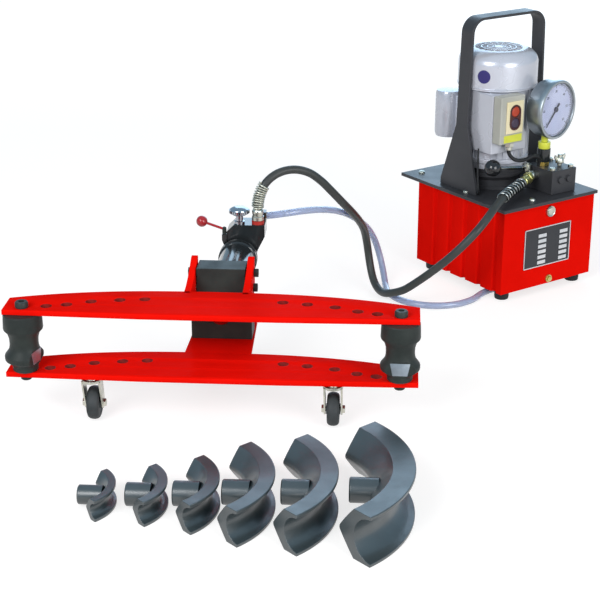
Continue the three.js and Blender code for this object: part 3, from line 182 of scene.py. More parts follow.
@dataclass(frozen=True)
class Finish:
    """One real material and the way its surface was made.

    Args:
        name: common name and process.
        slot: the record's material slot that it belongs to; not used.
        colour: main sRGB colour.
        tint: colour of the slow patches in it.
        roughness: middle of the roughness.
        metallic: 1 for bare metal.
        grain: what made the relief.
        grain_mm: size of one grain, ripple or groove.
        relief: depth of the grain in millimetres.
        patch_mm: size of the patches of tint.
        spread: how far the roughness wanders.
        coat: strength of a clear layer on top.
        transmission: share of light let through.
        ior: index of refraction where it isn't metal.
        specular: strength of the mirror-like part where it isn't metal.
        worn: colour that shows where the surface is rubbed.
        worn_share: how much of the surface is rubbed.
    """

    name: str
    slot: str
    colour: str
    tint: str
    roughness: float
    metallic: float = 0.0
    grain: Grain = Grain.PEEL
    grain_mm: float = 3.0
    relief: float = 0.02
    patch_mm: float = 60.0
    spread: float = 0.06
    coat: float = 0.0
    transmission: float = 0.0
    ior: float = 1.5
    specular: float = 0.3
    worn: str = ""
    worn_share: float = 0.0

    @cache
    def material(self) -> bpy.types.Material:
        """Builds the material once, and gives the same one after that.

        Returns:
            The material.
        """
        made = bpy.data.materials.new(self.name)
        made.use_nodes = True
        nodes = Nodes(made.node_tree)
        place = nodes.outs("ShaderNodeTexCoord")
        patches = nodes.noise(place["Object"], 1 / (self.patch_mm * MM), 3.0)
        colour = nodes.blend(nodes.span(patches, (0.38, 0.66)), linear(self.colour), linear(self.tint))
        if self.worn:
            rub = nodes.noise(place["Object"], 1 / (7 * MM), 6.0, Roughness=0.7)
            edge = 0.5 + 0.22 * (1 - self.worn_share)
            colour = nodes.blend(nodes.span(rub, (edge, edge + 0.05)), colour, linear(self.worn))
        ends = max(0.02, self.roughness - self.spread), min(1.0, self.roughness + self.spread)
        plain_mirror = self.metallic > 0.5 or self.transmission > 0
        rough = nodes.span(patches, (0.3, 0.7), ends)
        bump = nodes.add("ShaderNodeBump", {
            "Height": self._height(nodes, place), "Strength": 1.0, "Distance": self.relief * MM})
        shader = nodes.add("ShaderNodeBsdfPrincipled", {
            "Base Color": colour, "Roughness": rough, "Metallic": self.metallic, "Normal": bump,
            "Coat Weight": self.coat, "Coat Roughness": 0.08, "Transmission Weight": self.transmission,
            "IOR": self.ior, "Specular IOR Level": 0.5 if plain_mirror else self.specular})
        nodes.add("ShaderNodeOutputMaterial", {"Surface": shader})
        return made

    def _height(self, nodes: Nodes, place: bpy.types.bpy_prop_collection) -> Socket:
        """Draws the grain.

        Args:
            nodes: the material's tree.
            place: its texture coordinates.

        Returns:
            The socket that gives the height.
        """
        size = 1 / (self.grain_mm * MM)
        where = place["Object"]
        if self.grain is Grain.WRAPPED:
            along = nodes.add("ShaderNodeMapping", {"Vector": place["UV"], "Scale": (1.0, size, 1.0)})
            return nodes.add("ShaderNodeTexWave", {"Vector": along, "Scale": 0.16, "Distortion": 1.0}, "Fac",
                             bands_direction="DIAGONAL")
        if self.grain is Grain.TURNED:
            values = {"Vector": where, "Scale": size / 6, "Distortion": 0.6, "Detail": 2.0}
            return nodes.add("ShaderNodeTexWave", values, "Fac", bands_direction="Z")
        if self.grain is Grain.BRUSHED:
            drawn = nodes.add("ShaderNodeMapping", {"Vector": where, "Scale": (size / 40, size, size)})
            return nodes.noise(drawn, 1.0, 2.0)
        fine = nodes.noise(where, size, {Grain.CAST: 5.0, Grain.MOULDED: 2.0}.get(self.grain, 0.5))
        if self.grain is not Grain.CAST:
            return fine
        pits = nodes.add("ShaderNodeTexVoronoi", {"Vector": where, "Scale": size * 0.7})
        return nodes.math("ADD", fine, pits)


# Families of finishes, each with the relief that its process leaves
cast = partial(Finish, grain=Grain.CAST, patch_mm=30)
turned = partial(Finish, grain=Grain.TURNED, relief=0.004)
brushed = partial(Finish, grain=Grain.BRUSHED, grain_mm=0.5, relief=0.004)
sprung = partial(Finish, grain=Grain.SMOOTH, grain_mm=4, relief=0.003, patch_mm=9)
polished = partial(Finish, grain=Grain.SMOOTH, grain_mm=9, relief=0.003)
moulded = partial(Finish, grain=Grain.MOULDED, grain_mm=0.8, relief=0.01)
rubber = partial(Finish, grain=Grain.MOULDED, grain_mm=0.9, relief=0.02, patch_mm=18)

# Stove enamel sprayed on steel plate: an even, very red gloss with a slight ripple
RED_ENAMEL = Finish(
    "stove enamel, bright red, sprayed", "red_paint", "#ec130a", "#e21108", 0.34, grain_mm=2.2,
    relief=0.008, specular=0.0005, patch_mm=90)
# Thick paint over a sand casting: dull black with a soft grain
CAST_PAINT = cast(
    "paint on sand-cast steel, black", "black_cast_paint", "#313735", "#292e2d", 0.48, grain_mm=1.6,
    relief=0.04, specular=0.16)
# Gloss paint on turned tube: near black with long soft lights
GLOSS_BLACK = Finish(
    "gloss paint on turned steel, black", "gloss_black_paint", "#232729", "#1c1f21", 0.16, grain_mm=2.5,
    relief=0.004, coat=0.45, patch_mm=50)
# Powder coat, cured: satin black with a fine orange peel
POWDER_COAT = Finish(
    "powder coat, satin black", "black_paint", "#3b3c40", "#343539", 0.42, grain_mm=1.2, relief=0.012,
    patch_mm=70)
# Sand-cast iron under thin slate paint, rubbed brighter by pipe
FORMER_IRON = cast(
    "sand-cast iron, slate paint", "former_cast", "#303b3f", "#2a3437", 0.34, grain_mm=2.2, relief=0.03,
    specular=1.0, coat=0.15, worn="#4a5459", worn_share=0.05)
# Silver-grey paint on die-cast aluminium: pale, cool, softly glossy
MOTOR_PAINT = Finish(
    "paint on die-cast aluminium, silver grey", "motor_grey_paint", "#c4c8d3", "#c0c4cf", 0.28,
    metallic=0.25, relief=0.001, coat=0.3, patch_mm=90, spread=0.02)
# Bright zinc plate, passivated: silver with a faint warm cast
ZINC = brushed(
    "bright zinc plate on steel", "zinc_plate", "#c9c8bc", "#b4b5a9", 0.3, metallic=1.0, patch_mm=14)
# Yellow passivated zinc: the straw colour of hydraulic fittings
YELLOW_ZINC = brushed(
    "yellow passivated zinc plate", "zinc_plate", "#cfc98a", "#b9b56a", 0.3, metallic=0.9, patch_mm=10)
# Hard chrome, ground and polished: a clean grey mirror
CHROME = Finish(
    "hard chrome, polished", "chrome_plate", "#a4a9b0", "#989da4", 0.14, metallic=1.0, grain=Grain.SMOOTH,
    grain_mm=8, relief=0.002, spread=0.03)
# Machined steel: mid grey with the rings of its cutter
STEEL = turned(
    "mild steel, machined", "machined_steel", "#a5abae", "#969c9f", 0.34, metallic=1.0, grain_mm=0.8,
    patch_mm=25)
# Milled flat on a casting: pale cool grey, finely lined
MILLED = Finish(
    "cast steel, milled face", "machined_steel", "#a9b4be", "#97a3ae", 0.38, metallic=0.85,
    grain=Grain.BRUSHED, grain_mm=0.8, relief=0.006, patch_mm=12)
# Spring wire at the pump: bright grey, darker where it was bent
GUARD_ZINC = sprung("spring steel, zinc plated", "guard_steel", "#a3a6a4", "#6b6e6c", 0.28, metallic=1.0)
# Spring wire at the cylinder: duller and creamier
CREAM_SPRING = sprung(
    "spring steel, zinc plated, dull", "zinc_plate", "#c6c5b6", "#a6a698", 0.4, metallic=0.8)
# Turned brass: warm yellow with soft rings
BRASS = turned("brass, turned", "brass", "#c9ad62", "#b4994f", 0.3, metallic=1.0, grain_mm=0.7, patch_mm=20)
# Moulded tyre rubber: dark grey, no shine, a faint bloom
TYRE = rubber("grey rubber, moulded", "grey_rubber", "#3a3e40", "#323638", 0.62)
# Moulded foot and cable rubber: flat near black
FOOT_RUBBER = rubber("black rubber, moulded", "black_rubber", "#232426", "#1c1d1f", 0.6)
# The cover of a wire-braided hose keeps the print of the tape that it was cured in
HOSE_COVER = Finish(
    "synthetic rubber hose cover, tape cured", "black_hose", "#353837", "#3c403f", 0.4, grain=Grain.WRAPPED,
    grain_mm=5.0, relief=0.03, patch_mm=35)
# Clear soft vinyl: cool, wet looking, lets the floor show through
CLEAR_VINYL = Finish(
    "clear vinyl tube, extruded", "clear_hose", "#cdd8f0", "#bfcbe8", 0.12, grain=Grain.SMOOTH, grain_mm=20,
    relief=0.004, transmission=0.55, ior=1.45, coat=0.4, patch_mm=80, spread=0.03)
# Red phenolic ball: deep, hard and shiny
RED_BALL = polished(
    "phenolic resin, red, moulded", "red_plastic", "#a8242a", "#98202a", 0.22, relief=0.004, coat=0.3)
# Black phenolic ball: a small sharp light on black
BLACK_BALL = polished(
    "phenolic resin, black, moulded", "black_plastic", "#1b1c1f", "#232428", 0.18, relief=0.004, coat=0.4)
# Switch housing: warm light grey with a fine mould texture
BOX_PLASTIC = moulded(
    "switch housing plastic, grey, moulded", "grey_plastic", "#b6b8b0", "#aeb0a8", 0.42, relief=0.015)
# Switch plate: pale cream, a little smoother than its housing
CREAM_PLASTIC = moulded("switch plate plastic, cream, moulded", "grey_plastic", "#ece2bd", "#e4d9b0", 0.38)
# Stop button: brick red, slightly glossy
RED_PLASTIC = moulded("button plastic, red, moulded", "red_plastic", "#b8452d", "#a93f2a", 0.32)
# Start button: violet black
DARK_PLASTIC = moulded("button plastic, dark, moulded", "black_plastic", "#42364a", "#382f3f", 0.32)
# Bezel round the buttons: brown black
BEZEL_PLASTIC = moulded("bezel plastic, brown black, moulded", "black_plastic", "#4a2626", "#3f2122", 0.34)
# Blank yellow film: flat lemon yellow
YELLOW_FILM = polished("plain polyester film, yellow", "grey_plastic", "#d6dc4e", "#cbd244", 0.36)
# Dial enamel: cool white with no shine
DIAL_WHITE = polished("dial enamel, cool white", "grey_plastic", "#c8cbe2", "#c2c5dd", 0.4, relief=0.002)
# Dial ink: blue black
DIAL_INK = polished("dial ink, blue black", "black_plastic", "#2c2f45", "#25283c", 0.5, relief=0.001)
# Etched plate, its dark field: charcoal with a metal sheen
PLATE_INK = brushed(
    "etched aluminium plate, dark field", "machined_steel", "#3b3d41", "#34363a", 0.4, metallic=0.3)
# Etched plate, its bare fields: pale brushed silver
PLATE_BARE = brushed(
    "etched aluminium plate, bare field", "machined_steel", "#d9dbde", "#cdd0d4", 0.34, metallic=0.6,
    patch_mm=20)
# Blank blue film: deep violet blue
BLUE_FILM = polished("plain polyester film, dark blue", "motor_grey_paint", "#3a3577", "#332f6c", 0.3)
# Gauge lens: hardly seen but for its lights
LENS = Finish(
    "acrylic lens, clear", "grey_plastic", "#ffffff", "#fbfcff", 0.05, grain=Grain.SMOOTH, grain_mm=30,
    relief=0.001, transmission=1.0, ior=1.3, spread=0.01)
# Seal under the coupler: dull brick red
SEAL_RED = moulded("nitrile seal, red, moulded", "zinc_plate", "#b5332c", "#a32d27", 0.45, grain_mm=1.0)
# Walls of drilled holes: red paint over tool marks, made dark red as painted shade inside the holes
HOLE_SHADE = turned(
    "drilled steel, red paint darkened as painted shade", "machined_steel", "#8e1d18", "#6f1a18", 0.5, grain_mm=1.0,
    relief=0.01, patch_mm=6)


class Axis(Enum):
    """The way that a turned or cut shape points."""

    X = Matrix.Rotation(math.pi / 2, 4, "Y")
    Y = Matrix.Rotation(-math.pi / 2, 4, "X")
    Z = Matrix.Identity(4)


# Turns a flat shape's own plane upright, so that it faces the front
UPRIGHT = Matrix.Rotation(math.pi / 2, 4, "X")
# Lays a flat shape's X and Y along Y and Z, so that it faces the side
SIDEWAYS = Matrix(((0, 0, 1, 0), (1, 0, 0, 0), (0, 1, 0, 0), (0, 0, 0, 1)))


@dataclass(frozen=True)
class Place:
    """Where a local frame in millimetres stands in the row frame.

    Args:
        origin: its zero point in the row frame, in metres.
        turn_deg: how far it is turned about Z.
    """

    origin: Vector
    turn_deg: float = 0.0

    @property
    def matrix(self) -> Matrix:
        """The matrix from local millimetres to metres in the row frame."""
        turn = Matrix.Rotation(math.radians(self.turn_deg), 4, "Z")
        return Matrix.Translation(self.origin) @ turn @ Matrix.Scale(MM, 4)

    def at(self, x: float, y: float, z: float) -> Vector:
        """Gives a local point in metres in the row frame."""
        return self.matrix @ Vector((x, y, z))


def opened(name: str, inputs: dict[str, str]) -> tuple[Nodes, bpy.types.bpy_prop_collection]:
    """Starts a geometry tree that takes named inputs and a finish.

    Args:
        name: the tree's name.
        inputs: name to kind of each input, the geometry first.

    Returns:
        The tree and what it is given.
    """
    tree = bpy.data.node_groups.new(name, "GeometryNodeTree")
    for word, kind in {**inputs, "Finish": "Material"}.items():
        tree.interface.new_socket(word, in_out="INPUT", socket_type=f"NodeSocket{kind}")
    tree.interface.new_socket("Result", in_out="OUTPUT", socket_type="NodeSocketGeometry")
    nodes = Nodes(tree)
    return nodes, nodes.outs("NodeGroupInput")


@cache
def ring_tree() -> bpy.types.NodeTree:
    """Builds the tree that repeats a shape round a centre.

    Returns:
        The tree, with the count, the radius, the start and the step as named inputs.
    """
    nodes, given = opened("ring of copies", {
        "Shape": "Geometry", "Count": "Int", "Radius": "Float", "Start": "Float", "Step": "Float"})
    turned_by = nodes.math("MULTIPLY", nodes.add("GeometryNodeInputIndex"), given["Step"])
    angle = nodes.math("ADD", turned_by, given["Start"])
    x, y = [nodes.math("MULTIPLY", nodes.math(trig, angle), given["Radius"]) for trig in ("COSINE", "SINE")]
    spot = nodes.add("ShaderNodeCombineXYZ", {"X": x, "Y": y})
    loose = nodes.add("GeometryNodePoints", {"Count": given["Count"], "Position": spot})
    facing = nodes.add("ShaderNodeCombineXYZ", {"Z": angle})
    copies = nodes.add("GeometryNodeInstanceOnPoints", {
        "Points": loose, "Instance": given["Shape"], "Rotation": facing})
    return nodes.dressed(copies, given["Finish"])


@cache
def spots_tree() -> bpy.types.NodeTree:
    """Builds the tree that repeats a shape at the points of another object.

    Returns:
        The tree, with the object as a named input.
    """
    nodes, given = opened("copies on spots", {"Shape": "Geometry", "Spots": "Object"})
    loose = nodes.add("GeometryNodeObjectInfo", {"Object": given["Spots"]}, "Geometry")
    copies = nodes.add("GeometryNodeInstanceOnPoints", {"Points": loose, "Instance": given["Shape"]})
    return nodes.dressed(copies, given["Finish"])


@cache
def coil_tree() -> bpy.types.NodeTree:
    """Builds the tree that winds a wire round a path.

    Returns:
        The tree, with the turns, the winding's radius and the wire's radius as named inputs.
    """
    nodes, given = opened("wire wound on a path", {
        "Path": "Geometry", "Turns": "Float", "Winding Radius": "Float", "Wire Radius": "Float"})
    line = nodes.add("GeometryNodeMeshToCurve", {"Mesh": given["Path"]})
    steps = nodes.math("MULTIPLY", given["Turns"], 20.0)
    fine = nodes.add("GeometryNodeResampleCurve", {"Curve": line, "Count": steps})
    share = nodes.add("GeometryNodeSplineParameter", out="Factor")
    angle = nodes.math("MULTIPLY", nodes.math("MULTIPLY", share, given["Turns"]), math.tau)
    normal, along = nodes.add("GeometryNodeInputNormal"), nodes.add("GeometryNodeInputTangent")
    sides = []
    for trig, way in (("COSINE", normal), ("SINE", nodes.vector("CROSS_PRODUCT", {0: along, 1: normal}))):
        reach = nodes.math("MULTIPLY", nodes.math(trig, angle), given["Winding Radius"])
        sides.append(nodes.vector("SCALE", {0: way, "Scale": reach}))
    shift = nodes.vector("ADD", {0: sides[0], 1: sides[1]})
    wound = nodes.add("GeometryNodeSetPosition", {"Geometry": fine, "Offset": shift})
    section = nodes.add("GeometryNodeCurvePrimitiveCircle", {
        "Resolution": 10, "Radius": given["Wire Radius"]})
    wire = nodes.add("GeometryNodeCurveToMesh", {"Curve": wound, "Profile Curve": section, "Fill Caps": True})
    return nodes.dressed(wire, given["Finish"])


def linked(name: str, data: bpy.types.ID) -> bpy.types.Object:
    """Puts data into the scene as an object.

    Args:
        name: the object's name.
        data: a mesh, a curve, a lamp or a camera.

    Returns:
        The object.
    """
    holder = bpy.data.objects.new(name, data)
    bpy.context.scene.collection.objects.link(holder)
    return holder


def plain(carrier: bpy.types.Object) -> bpy.types.Mesh:
    """Gives what an object shows as a plain mesh, and removes the object.

    Args:
        carrier: the object.

    Returns:
        A new mesh.
    """
    seen = bpy.context.evaluated_depsgraph_get()
    seen.update()
    result = bpy.data.meshes.new_from_object(carrier.evaluated_get(seen))
    bpy.data.objects.remove(carrier)
    return result


def grown(mesh: bpy.types.Mesh, tree: bpy.types.NodeTree, inputs: dict[str, object]) -> bpy.types.Mesh:
    """Runs a tree on a mesh and gives the plain result.

    Args:
        mesh: what the tree starts from.
        tree: the node tree.
        inputs: values by the name of the input.

    Returns:
        A new mesh.
    """
    carrier = linked("carrier", mesh)
    modifier = carrier.modifiers.new("nodes", "NODES")
    modifier.node_group = tree
    for socket in tree.interface.items_tree:
        if socket.in_out == "INPUT" and socket.name in inputs:
            modifier[socket.identifier] = inputs[socket.name]
    carrier.update_tag()
    return plain(carrier)


def cut(base: bpy.types.Mesh, tool: bpy.types.Mesh) -> bpy.types.Mesh:
    """Cuts one closed mesh by another.

    Args:
        base: what is cut.
        tool: what is taken away.

    Returns:
        A new mesh.
    """
    whole, cutter = linked("whole", base), linked("cutter", tool)
    taken = whole.modifiers.new("cut", "BOOLEAN")
    taken.operation = "DIFFERENCE"
    taken.object = cutter
    result = plain(whole)
    bpy.data.objects.remove(cutter)
    return result


def ring(inner: float, outer: float, low: float, high: float) -> list[Pair]:
    """Gives the closed profile of a plain ring."""
    return [(inner, low), (outer, low), (outer, high), (inner, high), (inner, low)]


def arc(centre: Pair, radii: Pair, degrees: Iterable[float]) -> list[Pair]:
    """Gives points on a circle or an ellipse."""
    turns = [math.radians(a) for a in degrees]
    return [(centre[0] + radii[0] * math.cos(a), centre[1] + radii[1] * math.sin(a)) for a in turns]


class Form:
    """A shape in local millimetres, put together from closed pieces.

    Each method that adds to the shape gives the form itself, so that calls can follow one another.
    """

    def __init__(self) -> None:
        """Starts empty."""
        self.bm = bmesh.new()

    def _laid(self, old: set[bmesh.types.BMVert], matrix: Matrix) -> "Form":
        """Moves every point that isn't among the old ones by a matrix."""
        bmesh.ops.transform(self.bm, matrix=matrix, verts=[v for v in self.bm.verts if v not in old])
        return self

    def _ring(self, points: Iterable[Sequence[float]]) -> list[bmesh.types.BMVert]:
        """Adds points."""
        return [self.bm.verts.new(p) for p in points]

    def moved(self, matrix: Matrix) -> "Form":
        """Moves the whole form."""
        return self._laid(set(), matrix)

    def take(self, mesh: bpy.types.Mesh, matrix: Matrix = Matrix()) -> "Form":
        """Takes in a mesh.

        Args:
            mesh: what is taken in.
            matrix: how it is moved.

        Returns:
            Itself.
        """
        old = set(self.bm.verts)
        self.bm.from_mesh(mesh)
        return self._laid(old, matrix)

    def mesh(self, name: str) -> bpy.types.Mesh:
        """Gives the form as a mesh in local millimetres, and empties it.

        Args:
            name: the mesh's name.

        Returns:
            The mesh.
        """
        made = bpy.data.meshes.new(name)
        self.bm.to_mesh(made)
        self.bm.free()
        return made

    def cad(self, node: str, place: Place) -> "Form":
        """Takes in a copy of a CAD node, merged and with its flat faces joined.

        Args:
            node: the node's name.
            place: the local frame.

        Returns:
            Itself.
        """
        self.take(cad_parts[node].data, place.matrix.inverted())
        bmesh.ops.remove_doubles(self.bm, verts=self.bm.verts, dist=0.01)
        bmesh.ops.dissolve_limit(
            self.bm, angle_limit=math.radians(1), verts=self.bm.verts, edges=self.bm.edges)
        return self

    def box(self, low: Point, high: Point) -> "Form":
        """Adds a box between two corners.

        Args:
            low: the corner with the least values.
            high: the corner with the greatest values.

        Returns:
            Itself.
        """
        size, middle = Vector(high) - Vector(low), (Vector(high) + Vector(low)) / 2
        matrix = Matrix.Translation(middle) @ Matrix.Diagonal((*size, 1.0))
        bmesh.ops.create_cube(self.bm, size=1.0, matrix=matrix)
        return self

    def ball(self, centre: Point, radius: float) -> "Form":
        """Adds a ball."""
        bmesh.ops.create_uvsphere(
            self.bm, u_segments=40, v_segments=24, radius=radius, matrix=Matrix.Translation(centre))
        return self

    def lathe(self, profile: Sequence[Pair], sides: int = 48, centre: Point = (0, 0, 0), axis: Axis = Axis.Z,
              sweep_deg: float = 360.0) -> "Form":
        """Turns a profile round an axis.

        Args:
            profile: radius and height pairs that start and end on the axis, or close on themselves.
            sides: steps of the turn.
            centre: where the profile's zero stands.
            axis: the way the heights run.
            sweep_deg: the turn, centred on the local X.

        Returns:
            Itself.
        """
        old = set(self.bm.verts)
        whole = sweep_deg >= 360
        steps = sides if whole else sides + 1
        start, step = 0.0 if whole else -math.radians(sweep_deg) / 2, math.radians(sweep_deg) / sides
        shut = profile[0] == profile[-1] and profile[0][0] > 0
        rings = []
        for r, h in profile[:-1] if shut else profile:
            turns = [start + k * step for k in range(1 if r < 1e-6 else steps)]
            rings.append(self._ring((r * math.cos(a), r * math.sin(a), h) for a in turns))
        for a, b in zip(rings, rings[1:] + (rings[:1] if shut else [])):
            for k in range(sides):
                n = (k + 1) % steps
                corners = list(dict.fromkeys([a[k % len(a)], a[n % len(a)], b[n % len(b)], b[k % len(b)]]))
                if len(corners) > 2:
                    self.bm.faces.new(corners)
        for k in () if whole else (0, -1):
            self.bm.faces.new([corners[k] for corners in rings])
        return self._laid(old, Matrix.Translation(centre) @ axis.value)

    def drum(self, radius: float, low: float, high: float, centre: Point = (0, 0, 0), axis: Axis = Axis.Z,
             sides: int = 40, edge: float = 0.6) -> "Form":
        """Adds a round bar with broken edges.

        Args:
            radius: its radius.
            low: where it starts along the axis.
            high: where it ends.
            centre: where the heights' zero stands.
            axis: the way it runs.
            sides: steps round it.
            edge: width of its broken edges.

        Returns:
            Itself.
        """
        return self.lathe([(0, low), (radius - edge, low), (radius, low + edge), (radius, high - edge),
                           (radius - edge, high), (0, high)], sides, centre, axis)

    def hexagon(self, across: float, low: float, high: float, centre: Point = (0, 0, 0),
                axis: Axis = Axis.Z) -> "Form":
        """Adds a hexagon nut or head of a width across its flats."""
        return self.drum(across / math.sqrt(3), low, high, centre, axis, 6, 0.5)

    def tube(self, path: Sequence[Vector], radius: float, sides: int = 20, bore: float = 0.0) -> "Form":
        """Sweeps a round section along a path, with a UV map in metres along it.

        Args:
            path: the points to follow.
            radius: outer radius.
            sides: corners of the section.
            bore: inner radius, or 0 for a solid bar.

        Returns:
            Itself.
        """
        uv = self.bm.loops.layers.uv.verify()
        ways = [(b - a).normalized() for a, b in zip(path, path[1:])]
        ways = [ways[0]] + [(a + b).normalized() for a, b in zip(ways, ways[1:])] + [ways[-1]]
        turns = [math.tau * k / sides for k in range(sides)]
        side, run, rows = ways[0].orthogonal(), 0.0, []
        for i, (p, way) in enumerate(zip(path, ways)):
            side = (side - way * side.dot(way)).normalized()
            spokes = [side * math.cos(a) + way.cross(side) * math.sin(a) for a in turns]
            run += (p - path[i - 1]).length * MM if i else 0.0
            rows.append(([self._ring(p + s * r for s in spokes) for r in (radius, bore) if r], run))
        for (low, v0), (high, v1) in zip(rows, rows[1:]):
            for inside, (a, b) in enumerate(zip(low, high)):
                for k in range(sides):
                    n = (k + 1) % sides
                    corners = [(a[k], k, v0), (a[n], k + 1, v0), (b[n], k + 1, v1), (b[k], k, v1)]
                    corners = corners[::-1] if inside else corners
                    face = self.bm.faces.new([corner for corner, _, _ in corners])
                    for loop, (_, around, v) in zip(face.loops, corners):
                        loop[uv].uv = (around / sides, v)
        for (rings, _), way in ((rows[0], -1), (rows[-1], 1)):
            for k in range(sides if bore else 0):
                n = (k + 1) % sides
                self.bm.faces.new([rings[0][k], rings[0][n], rings[1][n], rings[1][k]][::way])
            if not bore:
                self.bm.faces.new(rings[0][::way])
        return self

    def loft(self, sections: Sequence[Sequence[Point]]) -> "Form":
        """Joins equal rings of corners into one closed skin.

        Args:
            sections: the rings, from one end to the other.

        Returns:
            Itself.
        """
        rings = [self._ring(section) for section in sections]
        for a, b in zip(rings, rings[1:]):
            for k in range(len(a)):
                n = (k + 1) % len(a)
                self.bm.faces.new([a[k], a[n], b[n], b[k]])
        self.bm.faces.new(rings[0][::-1])
        self.bm.faces.new(rings[-1])
        return self

    def plate(self, outline: Sequence[Pair], low: float, high: float, holes: Iterable[Point] = (),
              lay: Matrix = Matrix(), edge: float = 0.8) -> "Form":
        """Cuts a plate with round holes and rounded edges.

        Args:
            outline: its corners.
            low: start of its thickness.
            high: end of its thickness.
            holes: the place and radius of each hole.
            lay: turns the finished plate.
            edge: how far its edges are broken.

        Returns:
            Itself.
        """
        sheet = bpy.data.curves.new("cutting", "CURVE")
        sheet.dimensions = "2D"
        sheet.fill_mode = "BOTH"
        turns = [-360 * k / 32 for k in range(32)]
        for corners in [outline, *[arc((x, y), (r, r), turns) for x, y, r in holes]]:
            spline = sheet.splines.new("POLY")
            spline.points.add(len(corners) - 1)
            for point, (x, y) in zip(spline.points, corners):
                point.co = (x, y, 0, 1)
            spline.use_cyclic_u = True
        sheet.extrude = (high - low) / 2 - edge
        sheet.bevel_depth = edge
        sheet.bevel_resolution = 2
        sheet.offset = -edge
        old = set(self.bm.verts)
        self.bm.from_mesh(plain(linked("cutting", sheet)))
        bmesh.ops.remove_doubles(self.bm, verts=[v for v in self.bm.verts if v not in old], dist=1e-4)
        return self._laid(old, lay @ Matrix.Translation((0, 0, (low + high) / 2)))

    def text(self, words: str, height: float, place: Matrix) -> "Form":
        """Sets plain numbers, raised 0.15 mm.

        Args:
            words: the numbers.
            height: letter height.
            place: matrix from the text's plane to local millimetres.

        Returns:
            Itself.
        """
        letters = bpy.data.curves.new("number", "FONT")
        letters.body = words
        letters.size = height
        letters.align_x = letters.align_y = "CENTER"
        letters.extrude = 0.08
        return self.take(plain(linked("number", letters)), place)

    def around(self, shape: "Form", count: int, radius: float, finish: Finish, start_deg: float = 0.0,
               sweep_deg: float = 360.0, matrix: Matrix = Matrix()) -> "Form":
        """Repeats a shape round a centre.

        Args:
            shape: what is repeated, pointing along X from its own zero.
            count: how many.
            radius: how far its zero stands from the centre.
            finish: the finish of the copies.
            start_deg: place of the first.
            sweep_deg: the turn that they share.
            matrix: where the ring stands.

        Returns:
            Itself.
        """
        gaps = count if sweep_deg >= 360 else count - 1
        return self.take(grown(shape.mesh("one of a ring"), ring_tree(), {
            "Count": count, "Radius": float(radius), "Start": math.radians(start_deg),
            "Step": math.radians(sweep_deg) / gaps, "Finish": finish.material()}), matrix)

    def on_spots(self, spots: Sequence[Point], finish: Finish) -> "Form":
        """Repeats this form at given points, all facing the same way.

        Args:
            spots: the points.
            finish: the finish of the copies.

        Returns:
            A new form.
        """
        marks = bpy.data.meshes.new("spots")
        marks.from_pydata([tuple(p) for p in spots], [], [])
        holder = linked("spots", marks)
        inputs = {"Spots": holder, "Finish": finish.material()}
        result = grown(self.mesh("one of a set"), spots_tree(), inputs)
        bpy.data.objects.remove(holder)
        return Form().take(result)

    def made(self, name: str, place: Place, finish: Finish, node: str = "", body: str = ROOT, slot: str = "",
             bevel: float = 0.0, tidy: bool = True) -> bpy.types.Object:
        """Finishes the form as a piece that rides on a body.

        Args:
            name: the piece's name.
            place: the local frame.
            finish: its finish.
            node: the CAD node that it stands for, if any.
            body: the CAD body that it moves with.
            slot: the record's material slot, where it isn't the finish's own; not used.
            bevel: width of its broken edges in millimetres.
            tidy: whether its faces are turned to point out.

        Returns:
            The object.
        """
        self.moved(place.matrix)
        if tidy:
            bmesh.ops.recalc_face_normals(self.bm, faces=self.bm.faces)
        mesh = self.mesh(name)
        mesh.materials.clear()
        mesh.materials.append(finish.material())
        mesh.polygons.foreach_set("material_index", [0] * len(mesh.polygons))
        mesh.polygons.foreach_set("use_smooth", [True] * len(mesh.polygons))
        mesh.set_sharp_from_angle(angle=math.radians(SMOOTH_DEG))
        piece = linked(name, mesh)
        if bevel:
            rounding = piece.modifiers.new("broken edges", "BEVEL")
            rounding.width = bevel * MM
            rounding.segments = 2
            rounding.limit_method = "ANGLE"
            rounding.angle_limit = math.radians(BREAK_DEG)
            rounding.use_clamp_overlap = True
            rounding.harden_normals = True
        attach(piece, body)
        if node:
            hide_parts(node)
        LOG.info("%s: %d faces on %s", name, len(mesh.polygons), body)
        return piece


# Clearance in millimetres that keeps seated pieces apart, as in the part's source
SEAT_GAP = 0.3
HALF_WING = 300.0
PUMP_TURN = 38.3
GAUGE_TURN = 11
# Frames of the bender, of the pump that stands turned beside it, and of the gauge on the pump
WING_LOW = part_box("upper_wing_plate")[0]
BENDER = Place(Vector((WING_LOW.x + HALF_WING * MM, WING_LOW.y, 0.0)))
PUMP = Place(BENDER.at(451, 538.5, 0), PUMP_TURN)
GAUGE = Place(PUMP.at(142, 60, 0), PUMP_TURN + GAUGE_TURN)


